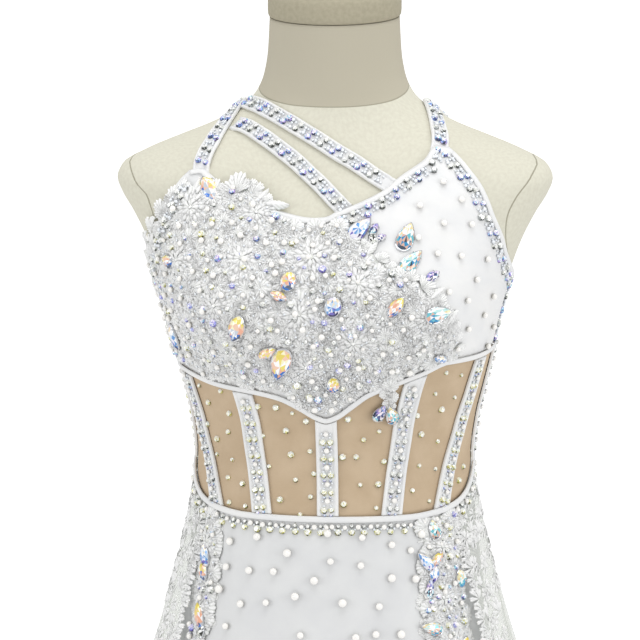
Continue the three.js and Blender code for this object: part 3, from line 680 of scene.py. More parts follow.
@dataclass(frozen=True)
class Crease:
    """A soft ridge in cloth, or a trough where rise is negative, from one place to another."""

    start: tuple[float, float]
    end: tuple[float, float]
    width: float
    rise: float

    def over(self, angle: Array, height: Array) -> Array:
        """The rise times a bell of the distance from the line, fading towards the line's ends."""
        scale = np.array([Line.STRETCH, 1])
        p = np.stack([angle, height], -1) * scale
        a, b = np.array(self.start) * scale, np.array(self.end) * scale
        t = ((p - a) @ (b - a)) / ((b - a) @ (b - a))
        away = np.linalg.norm(p - a - np.clip(t, 0, 1)[..., None] * (b - a), axis=-1)
        fade = 0.35 + 0.65 * np.sin(np.pi * np.clip(t, 0, 1))
        return self.rise * np.exp(-((away / self.width) ** 2)) * fade


def creased(creases: Sequence[Crease], angle: Array, height: Array) -> Array:
    """The sum of several creases over a grid."""
    return sum((c.over(angle, height) for c in creases), np.zeros(np.shape(angle)))


# Finishes


def linear(colour: str) -> tuple[float, float, float, float]:
    """Turns an sRGB hex colour to linear values with full alpha."""
    parts = [int(colour[i : i + 2], 16) / 255 for i in (1, 3, 5)]
    return (*(p / 12.92 if p <= 0.04045 else ((p + 0.055) / 1.055) ** 2.4 for p in parts), 1.0)


def add_node(tree: Tree, kind: str, settings: dict | None = None, inputs: dict | None = None) -> Node:
    """Adds a node with its settings and links.

    Args:
        tree: The tree that it joins.
        kind: Its type's name, after "ShaderNode".
        settings: Its properties.
        inputs: A value or another node's output for each input, by name or index.

    Returns:
        The node.
    """
    node = tree.nodes.new("ShaderNode" + kind)
    for name, value in (settings or {}).items():
        setattr(node, name, value)
    for name, value in (inputs or {}).items():
        if isinstance(value, Socket):
            tree.links.new(value, node.inputs[name])
        else:
            node.inputs[name].default_value = value
    return node


def crossed_threads(tree: Tree, vector: Socket, spacing_mm: float) -> Socket:
    """A plain weave's height: the greater of two waves that cross, a thread for each spacing."""
    scale = math.pi / (10 * spacing_mm * MM)
    warp, weft = (
        add_node(tree, "TexWave", {"bands_direction": axis}, {"Vector": vector, "Scale": scale})
        for axis in ("X", "Y")
    )
    return add_node(
        tree, "Math", {"operation": "MAXIMUM"}, {0: warp.outputs["Fac"], 1: weft.outputs["Fac"]}
    ).outputs["Value"]


def mottled(tree: Tree, vector: Socket, size_mm: float, colour: str, shade: str) -> Socket:
    """Two colours mixed by soft patches of about a size."""
    noise = add_node(tree, "TexNoise", {}, {"Vector": vector, "Scale": 1 / (size_mm * MM), "Detail": 4.0})
    share = add_node(
        tree, "MapRange", {"interpolation_type": "SMOOTHSTEP"},
        {"Value": noise.outputs["Fac"], "From Min": 0.3, "From Max": 0.7},
    )
    return add_node(
        tree, "Mix", {"data_type": "RGBA"},
        {0: share.outputs["Result"], 6: linear(colour), 7: linear(shade)},
    ).outputs[2]


@dataclass(frozen=True)
class Finish:
    """A material: its name, the record's slot and the shader's constant sockets."""

    name: str
    slot: str
    roughness: float = 0.5

    def sockets(self) -> dict[str, object]:
        """The shader's values that are the same all over."""
        return {"Roughness": self.roughness}

    def pattern(self, tree: Tree, shader: Node) -> None:
        """Links what varies over the surface."""


@functools.cache
def material_of(finish: Finish) -> bpy.types.Material:
    """Makes a finish's material once."""
    material = bpy.data.materials.new(finish.name)
    material.use_nodes = True
    tree = material.node_tree
    tree.nodes.clear()
    shader = add_node(tree, "BsdfPrincipled", {}, finish.sockets())
    add_node(tree, "OutputMaterial", {}, {"Surface": shader.outputs["BSDF"]})
    finish.pattern(tree, shader)
    return material


@dataclass(frozen=True)
class Cloth(Finish):
    """Woven or knitted cloth: a colour with soft patches of its shade, and threads that cross."""

    colour: str = "#FFFFFF"
    shade: str = "#FFFFFF"
    patch_mm: float = 30.0
    thread_mm: float = 0.8
    relief: float = 0.12

    def overlaid(self, tree: Tree, colour: Socket, threads: Socket) -> Socket:
        """Gives the colour with what a kind of cloth adds to it."""
        return colour

    def pattern(self, tree: Tree, shader: Node) -> None:
        """Links the colour and the threads' bump."""
        uv = add_node(tree, "UVMap", {"uv_map": "cloth"}).outputs["UV"]
        threads = crossed_threads(tree, uv, self.thread_mm)
        colour = mottled(tree, uv, self.patch_mm, self.colour, self.shade)
        tree.links.new(self.overlaid(tree, colour, threads), shader.inputs["Base Color"])
        bump = add_node(tree, "Bump", {}, {"Strength": self.relief, "Distance": 0.0002, "Height": threads})
        tree.links.new(bump.outputs["Normal"], shader.inputs["Normal"])


@dataclass(frozen=True)
class LinenCover(Cloth):
    """Plain-woven linen over padding: matt, mottled by its slubs, with stitched seams on the torso."""

    colour: str = "#D8D6C6"
    shade: str = "#D1CEBE"
    patch_mm: float = 3.0
    # Real threads are 0.5 mm apart; these are coarser, so that the weave shows.
    thread_mm: float = 0.9
    relief: float = 0.2
    # The neck above its seam is painted darker, for the shade that falls on it.
    neck_painted_shade: str = "#B7B19F"
    seams: bool = False
    seam_colour: str = "#A09C8A"
    seam_mm: float = 0.4
    # The armhole plates' seams run on the outer shoulders, this far from the middle and further.
    plates_from_mm: float = 90.0

    def seam_shares(self, tree: Tree) -> tuple[Socket, Socket]:
        """Finds the neck above its seam's plane, painted darker for the shade that falls on it, and the dark
        lines of that seam and the plates'.

        A plate's seam is where (y/a)^2 + (z/b)^2 = 1 about the oval's centre, on the outer shoulder only.

        Args:
            tree: The material's nodes.

        Returns:
            The share of painted neck shade and the share of seam, each from 0 to 1.
        """
        place = add_node(tree, "TexCoord").outputs["Object"]
        height, slope = NECK_PLANE
        above = add_node(
            tree, "VectorMath", {"operation": "DOT_PRODUCT"}, {0: place, 1: (0.0, -slope, 1.0)}
        ).outputs["Value"]
        level = (WAIST_HEIGHT + height) * MM
        on_neck = add_node(
            tree, "MapRange", {}, {"Value": above, "From Min": level - MM / 4, "From Max": level + MM / 4}
        ).outputs["Result"]
        y0, z0, a, b = ARM_PLATE
        # The huge scale along X leaves that axis out of the distance.
        centre, axes = (0.0, y0 * MM, (WAIST_HEIGHT + z0) * MM), (1e6, a * MM, b * MM)
        oval = add_node(
            tree, "Mapping", {"vector_type": "TEXTURE"}, {"Vector": place, "Location": centre, "Scale": axes}
        ).outputs["Vector"]
        around = add_node(tree, "VectorMath", {"operation": "LENGTH"}, {0: oval}).outputs["Value"]
        neck, plate = (
            add_node(tree, "Math", {"operation": "COMPARE"}, {0: value, 1: at, 2: width}).outputs["Value"]
            for value, at, width in (
                (above, level, self.seam_mm * MM), (around, 1.0, 2 * self.seam_mm / (a + b)),
            )
        )
        aside = add_node(tree, "SeparateXYZ", {}, {"Vector": place}).outputs["X"]
        aside = add_node(tree, "Math", {"operation": "ABSOLUTE"}, {0: aside}).outputs["Value"]
        outer = add_node(
            tree, "Math", {"operation": "GREATER_THAN"}, {0: aside, 1: self.plates_from_mm * MM}
        ).outputs["Value"]
        plate = add_node(tree, "Math", {"operation": "MULTIPLY"}, {0: plate, 1: outer}).outputs["Value"]
        line = add_node(tree, "Math", {"operation": "MAXIMUM"}, {0: neck, 1: plate}).outputs["Value"]
        return on_neck, line

    def overlaid(self, tree: Tree, colour: Socket, threads: Socket) -> Socket:
        """Lays the neck's painted shade and the seams' dark lines over the linen's."""
        if not self.seams:
            return colour
        # The neck gets its painted shade, and the seams their dark stitches.
        for share, over in zip(self.seam_shares(tree), (self.neck_painted_shade, self.seam_colour)):
            colour = add_node(
                tree, "Mix", {"data_type": "RGBA"}, {0: share, 6: colour, 7: linear(over)}
            ).outputs[2]
        return colour


@dataclass(frozen=True)
class StretchSatin(Cloth):
    """Satin-backed stretch jersey: fine knit with a soft sheen that brightens where it turns away.

    The knit's real wales are 0.4 mm apart, drawn at twice that.
    """

    colour: str = "#EAEAE9"
    shade: str = "#E3E4E5"

    def sockets(self) -> dict[str, object]:
        """A satin's sheen over its roughness."""
        return super().sockets() | {"Sheen Weight": 0.25, "Sheen Roughness": 0.35}


@dataclass(frozen=True)
class NudeMesh(Cloth):
    """Fine stretch mesh over a nude lining: matt, with a grain of tiny holes.

    The mesh's real holes are 0.5 mm apart, drawn a little coarser.
    """

    colour: str = "#CDB89C"
    shade: str = "#BFA98C"
    hole_colour: str = "#B8A285"
    patch_mm: float = 26.0
    relief: float = 0.25

    def overlaid(self, tree: Tree, colour: Socket, threads: Socket) -> Socket:
        """Shows darker holes between the threads."""
        return add_node(
            tree, "Mix", {"data_type": "RGBA"}, {0: threads, 6: linear(self.hole_colour), 7: colour}
        ).outputs[2]


@dataclass(frozen=True)
class SheerNet(Finish):
    """Soft nylon net: threads that cross, with open holes between them."""

    colour: str = "#E6E9E2"
    # Real holes are about 1 mm, drawn at twice that, so that the net shows.
    hole_mm: float = 2.0
    least: float = 0.27
    most: float = 0.68

    def pattern(self, tree: Tree, shader: Node) -> None:
        """Alpha from threads that cross on the slant."""
        uv = add_node(tree, "UVMap", {"uv_map": "cloth"}).outputs["UV"]
        slanted = add_node(
            tree, "Mapping", {}, {"Vector": uv, "Rotation": (0.0, 0.0, math.radians(45))}
        ).outputs["Vector"]
        threads = crossed_threads(tree, slanted, self.hole_mm)
        alpha = add_node(
            tree, "MapRange", {"interpolation_type": "SMOOTHSTEP"},
            {"Value": threads, "From Min": 0.45, "From Max": 0.95, "To Min": self.least, "To Max": self.most},
        )
        tree.links.new(alpha.outputs["Result"], shader.inputs["Alpha"])

    def sockets(self) -> dict[str, object]:
        """Matt nylon."""
        return super().sockets() | {"Base Color": linear(self.colour), "Sheen Weight": 0.2}


@dataclass(frozen=True)
class CordedLace(Finish):
    """Cotton-cord lace: bright raised threads, with painted shade between them, and a soft fuzz."""

    thread: str = "#FFFFFF"
    # The colour between the cords and over the whole ground: partly the satin that shows through, partly
    # painted shade.
    gap: str = "#E2E4E0"
    # Twist of the cords, drawn coarser than the real 0.4 mm.
    twist_mm: float = 0.9

    def sockets(self) -> dict[str, object]:
        """Matt cotton, through which a little light spreads."""
        return super().sockets() | {
            "Sheen Weight": 0.3, "Sheen Roughness": 0.5, "Subsurface Weight": 0.7, "Subsurface Scale": 0.0015,
            "Subsurface Radius": (1.0, 1.0, 1.0),
        }

    def pattern(self, tree: Tree, shader: Node) -> None:
        """Colour by how raised the cord is, which paints shade in the gaps, and the twist's bump."""
        cord = add_node(tree, "Attribute", {"attribute_name": "cord"}).outputs["Fac"]
        colour = add_node(
            tree, "Mix", {"data_type": "RGBA"}, {0: cord, 6: linear(self.gap), 7: linear(self.thread)}
        ).outputs[2]
        tree.links.new(colour, shader.inputs["Base Color"])
        place = add_node(tree, "TexCoord").outputs["Object"]
        fuzz = add_node(tree, "TexNoise", {}, {"Vector": place, "Scale": 1 / (self.twist_mm * MM)})
        bump = add_node(
            tree, "Bump", {}, {"Strength": 0.5, "Distance": 0.0004, "Height": fuzz.outputs["Fac"]}
        )
        tree.links.new(bump.outputs["Normal"], shader.inputs["Normal"])


@dataclass(frozen=True)
class CutGlass(Finish):
    """Foiled cut glass with a rainbow coating: hard gloss, each facet with its own colour, which mixes the
    coating's colours with painted highlights and painted reflections.
    """

    metallic: float = 0.2

    def sockets(self) -> dict[str, object]:
        """Foil under glass: part metal, with a clear coat."""
        return super().sockets() | {"Metallic": self.metallic, "Coat Weight": 0.5, "Coat Roughness": 0.03}

    def pattern(self, tree: Tree, shader: Node) -> None:
        """The facets' colours, with their painted highlights and reflections."""
        tint_and_reflection = add_node(tree, "Attribute", {"attribute_name": "tint_and_reflection"}).outputs["Color"]
        tree.links.new(tint_and_reflection, shader.inputs["Base Color"])


@dataclass(frozen=True)
class PlainFinish(Finish):
    """A finish of one colour, whose gloss comes from its coat and metal."""

    colour: str = "#FFFFFF"
    metallic: float = 0.0
    coat: float = 0.0
    grain_mm: float = 3.0
    grain: float = 0.0
    # The colour low down on a bead, where it meets the cloth: painted shade.
    foot: str | None = None

    def sockets(self) -> dict[str, object]:
        """One colour, its metal and its coat."""
        return super().sockets() | {
            "Base Color": linear(self.colour), "Metallic": self.metallic, "Coat Weight": self.coat,
        }

    def pattern(self, tree: Tree, shader: Node) -> None:
        """A fine unevenness in the gloss, and the painted shade on a bead's foot."""
        if self.foot:
            share = add_node(tree, "Attribute", {"attribute_name": "cord"}).outputs["Fac"]
            colour = add_node(
                tree, "Mix", {"data_type": "RGBA"}, {0: share, 6: linear(self.foot), 7: linear(self.colour)}
            ).outputs[2]
            tree.links.new(colour, shader.inputs["Base Color"])
        place = add_node(tree, "TexCoord").outputs["Object"]
        noise = add_node(tree, "TexNoise", {}, {"Vector": place, "Scale": 1 / (self.grain_mm * MM)})
        rough = add_node(
            tree, "MapRange", {},
            {"Value": noise.outputs["Fac"], "To Min": self.roughness * (1 - self.grain),
             "To Max": self.roughness * (1 + self.grain)},
        )
        tree.links.new(rough.outputs["Result"], shader.inputs["Roughness"])


# The cap's linen is painted darker than the torso's, for the shade that falls on it.
CAP_LINEN = LinenCover("form_linen_cap_painted_shade", "form_cloth", 0.9, colour="#A9A28D", shade="#A09A85")
TORSO_LINEN = LinenCover("form_linen_stitched", "form_cloth", 0.9, seams=True)
SATIN = StretchSatin("stretch_satin", "white_jersey", 0.48)
# The skirt's jersey is the duller of the two, and its colour is painted darker for the shade that falls on
# the skirt.
SKIRT_JERSEY = StretchSatin("stretch_jersey_painted_shade", "white_jersey", 0.56, colour="#DCDDDD", shade="#D6D7D8")
MESH = NudeMesh("nude_stretch_mesh", "nude_mesh", 0.8)
NET = SheerNet("sheer_net", "sheer_net", 0.8)
# The net's hem, rolled and stitched: several layers, so that it is closed and white.
NET_HEM = PlainFinish("rolled_net_hem", "sheer_net", 0.8, colour="#E4E7E0", grain=0.1)
LACE = CordedLace("cotton_cord_lace", "corded_lace", 0.85)
# The thinner lace on the net: the light that comes through it leaves its gaps pale.
NET_LACE = CordedLace("thin_cord_lace", "corded_lace", 0.85, gap="#EEEFEC")
CRYSTAL = CutGlass("foiled_cut_glass", "corded_lace", 0.08)
# Pressed pearl: a milky body under a clear coat, with painted shade low down where it meets the cloth.
PEARL = PlainFinish(
    "pressed_pearl", "corded_lace", 0.22, colour="#F8F6F2", coat=0.6, grain=0.15, foot="#A6A39B")
# Seed beads: clear glass lined with pale blue white, with painted shade low down where they meet the cloth.
BEAD = PlainFinish(
    "lined_glass_seed", "corded_lace", 0.15, colour="#EEF2F6", coat=0.8, grain=0.1, foot="#BCC1C9")
# Stamped settings: bright tin plate, slightly dull.
TIN = PlainFinish("tin_plate_setting", "corded_lace", 0.25, colour="#CFD0D3", metallic=1.0, grain=0.2)
# Spun and brushed steel.
STEEL = PlainFinish(
    "brushed_steel", "stand_metal", 0.28, colour="#BDBEC0", metallic=1.0, grain=0.35, grain_mm=1.2)


# The dress form and its stand


@dataclass
class DressForm:
    """A limbless padded form: torso, neck cap, flange, stem and base."""

    columns: int = 192
    fine_rows: int = 84
    low_rows: int = 30
    fine_from: float = 70.0
    base_radius: float = 170.0
    base_thickness: float = 14.0
    stem_radius: float = 14.0
    flange_radius: float = 42.0
    # The cover's foot: it starts to round this far up, and is tucked under to this share of its width.
    foot_rounding: float = 4.0
    foot_tuck: float = 0.955
    bevel: float = 0.6
    cap_profile: Rows = (
        (0.3, 0.985), (1.0, 1.012), (2.2, 1.024), (5, 1.03), (12, 1.03), (15.5, 1.022), (17.6, 1.0),
        (18.7, 0.965), (19, 0.93), (19, 0.6), (19, 0.2),
    )
    # Slight drags in the cover beside the armhole plates.
    drags: tuple[Crease, ...] = (
        Crease((-76, 214), (-64, 207), 4, 0.9), Crease((-74, 196), (-62, 192), 4, -0.8),
        Crease((-78, 205), (-66, 199), 3, 0.6), Crease((70, 208), (60, 215), 5, 0.7),
        Crease((-40, 262), (-20, 250), 6, 0.5), Crease((60, 262), (35, 250), 6, 0.5),
    )

    def torso(self) -> None:
        """The padded torso: a fine grid on the body, its cover dragged a little and turned in at the foot."""
        low = np.linspace(FORM_BOTTOM, self.fine_from, self.low_rows, endpoint=False)
        heights = np.concatenate([low, np.linspace(self.fine_from, NECK_SEAM, self.fine_rows)])
        angle = np.linspace(-180, 180, self.columns, endpoint=False)[None] + 0 * heights[:, None]
        height = heights[:, None] + 0 * angle
        points = BODY.lifted(angle, height, creased(self.drags, angle, height))
        points = np.concatenate([points[:1] * (self.foot_tuck, self.foot_tuck, 1), points])
        points[1] = BODY.lifted(angle[0], height[0] + self.foot_rounding, 0)
        capped(points).build("torso_cover", TORSO_LINEN, ["form_torso"])

    def cap(self) -> None:
        """The neck cap: rings round the neck, rounded over at the rim, level with the neck's lean."""
        rise, reach = np.array(self.cap_profile).T
        angle = np.linspace(-180, 180, 96, endpoint=False)[None]
        radius = BODY.radius(angle, np.full_like(angle, NECK_SEAM)) * reach[:, None]
        points = polar(angle + 0 * radius, radius, NECK_SEAM + rise[:, None] + 0 * angle)
        points[..., 2] += points[..., 1] * math.tan(math.radians(BODY.lean_degrees))
        capped(points, smooth_top=True).build("neck_cap_cover", CAP_LINEN, ["form_neck_cap"])

    def turned(self, name: str, profile: Rows, node: str, segments: int = 96) -> None:
        """A turned steel piece: its profile of radius and height, carried round the axis."""
        radius, height = np.array(profile, float).T[..., None]
        angle = np.linspace(0, 2 * np.pi, segments, endpoint=False)[None]
        rings = np.stack([radius * np.cos(angle), radius * np.sin(angle), height + 0 * angle], -1)
        piece = capped(rings).build(name, STEEL, [node])
        bevel = piece.modifiers.new("soft_edges", "BEVEL")
        bevel.width = self.bevel * MM
        bevel.segments = 2

    def stand(self) -> None:
        """The flange under the torso, the stem with its collar, and the base plate."""
        top = WAIST_HEIGHT + FORM_BOTTOM - 0.3
        self.turned("flange_plate", ((self.flange_radius, top - 6), (self.flange_radius, top)), "form_flange")
        foot = self.base_thickness + 0.3
        self.turned("stem_tube", (
            (24, foot), (24, foot + 12.5), (23, foot + 14), (18, foot + 18.5), (17, foot + 20),
            (self.stem_radius, foot + 22), (self.stem_radius, top - 6.3),
        ), "form_stem")
        r, t = self.base_radius, self.base_thickness
        self.turned("base_plate", (
            (r - 1.5, 0), (r, 1.5), (r, t - 3), (r - 0.9, t - 0.9), (r - 3, t),
        ), "form_base", 160)

    def build(self) -> None:
        """Makes every piece of the form and stand."""
        self.torso()
        self.cap()
        self.stand()


# The dress


@dataclass
class Panel:
    """A piece of cloth on a surface: a grid of angles and heights, and how far it stands off."""

    name: str
    nodes: Sequence[str]
    finish: Finish
    surface: Surface
    grid: tuple[Array, Array]
    lift: float = BASE_LAYER
    thickness: float = CLOTH
    relief: Value = 0.0
    drape: Value = 0.0
    held: str = "stretched"
    rests_on: Sequence[str] = ("torso_cover",)

    def build(self) -> Piece:
        """Makes the wall: drape moves both its faces, relief only the outer one.

        Returns:
            The piece.
        """
        angle, height = self.grid
        inner = self.surface.lifted(angle, height, self.lift + self.drape)
        outer = self.surface.lifted(angle, height, self.lift + self.thickness + self.drape + self.relief)
        piece = shell(outer, inner).build(self.name, self.finish, self.nodes)
        return piece


def edged(across: Array) -> Array:
    """A strap's raised edges: two rounded welts at four fifths of the half width."""
    return np.clip(1 - ((np.abs(across) - 0.8) / 0.2) ** 2, 0, 1) ** 0.6


@dataclass
class Strap:
    """A narrow band of satin along a track, with a welt down each edge."""

    name: str
    rows: Rows
    width: float = 12.7
    cuts: tuple[float, float] = (0.0, 0.0)
    cut_reach: float = 0.4
    columns: int = 20
    row_step: float = 2.2
    # How far each end runs on under what it is sewn to, and how far it sinks there.
    tucks: tuple[float, float] = (0.0, 0.0)
    sink: float = 1.1

    @functools.cached_property
    def track(self) -> Track:
        """The strap's middle."""
        return Track(BODY, self.rows)

    def build(self) -> None:
        """Makes the band: a grid along the track and across it, its ends slanted by the cuts."""
        steps = int(self.track.length / self.row_step)
        along = np.linspace(-self.tucks[0], self.track.length + self.tucks[1], steps)[:, None]
        # Columns run to the right of the track, so that rows and columns turn the right way round.
        across = np.linspace(1, -1, self.columns + 1)[None]
        share = along / self.track.length
        near_start, near_end = (np.clip(1 - s / self.cut_reach, 0, 1) for s in (share, 1 - share))
        slant = self.cuts[0] * near_start + self.cuts[1] * near_end
        angle, height, _ = self.track.at(along, across * self.width / 2, slant)
        drape = 0 * along
        for past_end, tuck in ((-along, self.tucks[0]), (along - self.track.length, self.tucks[1])):
            drape = drape - self.sink * smooth(1 + past_end / 3) * (tuck > 0)
        Panel(
            self.name + "_band", [self.name], SATIN, BODY, (angle, height), relief=edged(across) + 0 * along,
            drape=drape + 0 * across,
        ).build()


@dataclass
class Bodice:
    """Two fronts that meet beside the middle, a back band, four straps and the welts on their edges."""

    plain_creases: tuple[Crease, ...] = (
        Crease((44, 84), (66, 88), 2.8, 1.5), Crease((40, 80), (62, 95), 2.6, -0.9),
        Crease((66, 150), (56, 128), 7, 0.8), Crease((60, 206), (47, 176), 8, 0.7),
        Crease((78, 130), (60, 108), 6, 0.6), Crease((12, 176), (26, 120), 7, 0.6),
    )
    lace_creases: tuple[Crease, ...] = (
        Crease((-74, 140), (-56, 110), 7, 0.4), Crease((-66, 160), (-50, 150), 6, 0.4),
    )

    def fronts(self) -> None:
        """Each front fills its hem, neckline, middle seam and side."""
        left, right, side = FRONT_SEAM - HALF_SEAM, FRONT_SEAM + HALF_SEAM, SIDE_SEAM - HALF_SEAM
        neck, foot = np.array(NECKLINE), moved(cup_hem, UNDER_BINDING)
        lace_side = coons(
            rows_of(foot, -side, left),
            [*neck[neck[:, 0] < FRONT_SEAM - 1], (left, neckline(left))],
            [(-side, foot(-side)), (-side, 100), (-side, 126), *LACE_SIDE_ARMHOLE],
            [(left, foot(left)), (left, neckline(left))], 100, 60,
        )
        plain_side = coons(
            rows_of(foot, right, side),
            [(right, neckline(right)), *neck[neck[:, 0] > FRONT_SEAM + 1]],
            [(right, foot(right)), (right, neckline(right))],
            [(side, foot(side)), (side, 100), (side, 126), *PLAIN_SIDE_ARMHOLE], 100, 70,
        )
        Panel("bodice_front_laced", ["bodice_front_lace_side"], SATIN, BODY, lace_side,
              drape=creased(self.lace_creases, *lace_side)).build()
        Panel("bodice_front_plain", ["bodice_front_plain_side"], SATIN, BODY, plain_side,
              drape=creased(self.plain_creases, *plain_side)).build()

    def back(self) -> None:
        """The band across the back, with its upper edge turned over."""
        grid = between(moved(cup_hem, UNDER_BINDING), back_top, *BACK_SPAN, 150, 18)
        turned_edge = 0.5 * np.exp(-(((grid[1] - back_top(grid[0]) + 3.5) / 2.2) ** 2))
        Panel("bodice_back", ["bodice_back_band"], SATIN, BODY, grid, relief=turned_edge).build()

    def welts(self) -> None:
        """Rounded cords on the neckline and armholes, and the ones that cover the cup hem."""
        neck = Track(BODY, rows_of(moved(neckline, -2.6), -59.5, 56.5, 40))
        angle, height, _ = neck.at(np.linspace(0, neck.length, 120), 0)
        welt(BODY, angle, height, TOP_LAYER - LAYER_GAP + 0.1, 1.9, 0.95).build(
            "neckline_welt", SATIN, ["binding_neckline"])
        for side, rows in (("plain", PLAIN_SIDE_ARMHOLE), ("laced", LACE_SIDE_ARMHOLE)):
            track = Track(BODY, rows)
            inward = 2.4 if side == "plain" else -2.4
            angle, height, _ = track.at(np.linspace(1.5, track.length - 6, 90), inward)
            welt(BODY, angle, height, TOP_LAYER - LAYER_GAP + 0.1, 1.9, 0.95).build(
                f"armhole_welt_{side}", SATIN, ["binding_armhole"] if side == "plain" else [])
        angle = np.linspace(-180, 180, 360, endpoint=False)
        welt(BODY, angle, cup_hem(angle), TOP_LAYER, 2.0, 1.0, ring=True).build(
            "cup_hem_welt", SATIN, ["binding_cup_hem"])

    def straps(self) -> list[Strap]:
        """The four straps, from their routes."""
        return [
            Strap("strap_shoulder_lace_side", LACE_SIDE_STRAP, cuts=(0.25, 0.05), tucks=(5, 4)),
            Strap("strap_shoulder_plain_side", SHOULDER_STRAP, cuts=(-0.15, -0.05), tucks=(5, 4)),
            Strap("strap_diagonal_upper", UPPER_DIAGONAL, tucks=(3, 5)),
            Strap("strap_diagonal_lower", LOWER_DIAGONAL, tucks=(3, 5)),
        ]

    def build(self) -> None:
        """Makes every piece of the bodice."""
        self.fronts()
        self.back()
        self.welts()
        for strap in self.straps():
            strap.build()


@dataclass
class Strip:
    """A boning strip from the waist to the cup hem: its angle at the hem, halfway and at the waist."""

    name: str
    angles: tuple[float, float, float]
    width: float = 15.5
    clear: float = 2.6

    def track_rows(self) -> Rows:
        """The strip's middle line, upwards."""
        top, middle, foot = self.angles
        low, high = waist_line(foot), cup_hem(top)
        return ((foot, float(low)), (middle, float(low + high) / 2), (top, float(high)))

    def build(self) -> None:
        """A grid whose foot and top follow the two seams, with a welt down each edge."""
        track = Track(BODY, self.track_rows())
        across = np.linspace(1, -1, 25)[None]
        along = np.linspace(0, track.length, 60)[:, None]
        angle, height, _ = track.at(along, across * self.width / 2)
        low, high = waist_line(angle) + self.clear, cup_hem(angle) - self.clear
        share = (along / track.length) + 0 * across
        height = low * (1 - share) + high * share
        Panel(self.name + "_band", [self.name], SATIN, BODY, (angle, height), lift=TOP_LAYER,
              relief=edged(across) + 0 * along, rests_on=("midriff_front",)).build()


STRIPS = (
    Strip("strip_centre", (0, 0.6, 1)),
    Strip("strip_front_plain_side", (38, 37, 32)),
    Strip("strip_side_front_plain_side", (70, 68, 57)),
    Strip("strip_side_plain_side", (92, 92, 91)),
    Strip("strip_front_lace_side", (-38, -37, -32)),
    Strip("strip_side_front_lace_side", (-70, -68, -57)),
    Strip("strip_side_lace_side", (-92, -92, -91)),
)


@dataclass
class Midriff:
    """Nude mesh between the cup hem and the waist, the boning strips on it and the waist's welt."""

    cells: tuple[int, int] = (110, 24)

    def build(self) -> None:
        """Makes the mesh, the strips and the waist's welt."""
        low, high = moved(waist_line, UNDER_BINDING), moved(cup_hem, -UNDER_BINDING)
        for side, span in (("front", FRONT_SPAN), ("back", BACK_SPAN)):
            grid = between(low, high, *span, *self.cells)
            Panel(f"midriff_{side}", [f"midriff_mesh_{side}"], MESH, BODY, grid).build()
        for strip in STRIPS:
            strip.build()
        angle = np.linspace(-180, 180, 360, endpoint=False)
        welt(BODY, angle, waist_line(angle), TOP_LAYER, 2.3, 1.25, ring=True).build(
            "waist_welt", SATIN, ["binding_waist"])


@dataclass
class Skirts:
    """The fitted underskirt, and the sheer overskirt in four gores."""

    hem_depth: float = 12.0
    under_creases: tuple[Crease, ...] = (
        Crease((-30, -60), (-44, -190), 9, 0.9), Crease((26, -52), (38, -200), 10, 0.8),
        Crease((-4, -120), (-10, -205), 12, 0.7), Crease((-58, -50), (-40, -70), 6, 0.7),
        Crease((56, -52), (30, -66), 6, 0.6), Crease((12, -150), (20, -205), 9, 0.6),
    )
    back_creases: tuple[Crease, ...] = (
        Crease((150, -30), (140, -190), 10, 0.9), Crease((205, -40), (216, -200), 10, 0.8),
        Crease((178, -60), (184, -200), 12, 0.7),
    )

    def under(self) -> None:
        """The underskirt's front and back, with a turned hem."""
        low, high = moved(np.zeros_like, UNDERSKIRT_HEM), moved(waist_line, -UNDER_BINDING)
        for side, span, creases in (
            ("front", FRONT_SPAN, self.under_creases), ("back", BACK_SPAN, self.back_creases),
        ):
            grid = between(low, high, *span, 100, 80)
            above_hem = grid[1] - UNDERSKIRT_HEM
            turned_hem = 0.5 * (1 - smooth((above_hem - self.hem_depth) / 1.5 + 0.5))
            Panel(f"underskirt_{side}_panel", [f"underskirt_{side}"], SKIRT_JERSEY, UNDER, grid,
                  relief=turned_hem, drape=creased(creases, *grid)).build()

    def over(self) -> None:
        """The overskirt's gores, each one sheet of net with a rolled hem."""
        middle = (SKIRT_FRONT_EDGE + 180) / 2
        for name, start, end in (
            ("side_plain_side", SKIRT_FRONT_EDGE, middle), ("back_plain_side", middle, 180),
            ("back_lace_side", 180, 360 - middle), ("side_lace_side", 360 - middle, 360 - SKIRT_FRONT_EDGE),
        ):
            angle, height = between(OVER.hem, OVER.top, start + HALF_SEAM, end - HALF_SEAM, 110, 96)
            points = OVER.lifted(angle, height, LAYER_GAP)
            net = Shape(points.reshape(-1, 3), [grid_faces(*points.shape[:2])], [True],
                        uv=cloth_uv(points).reshape(-1, 2))
            piece = net.build(f"overskirt_net_{name}", NET, [f"overskirt_{name}"])
            welt(OVER, angle[0], height[0], LAYER_GAP - 0.5, 0.9, 0.9, sides=8).build(
                f"overskirt_hem_{name}", NET_HEM)

    def build(self) -> None:
        """Makes both skirts."""
        self.under()
        self.over()


# Lace


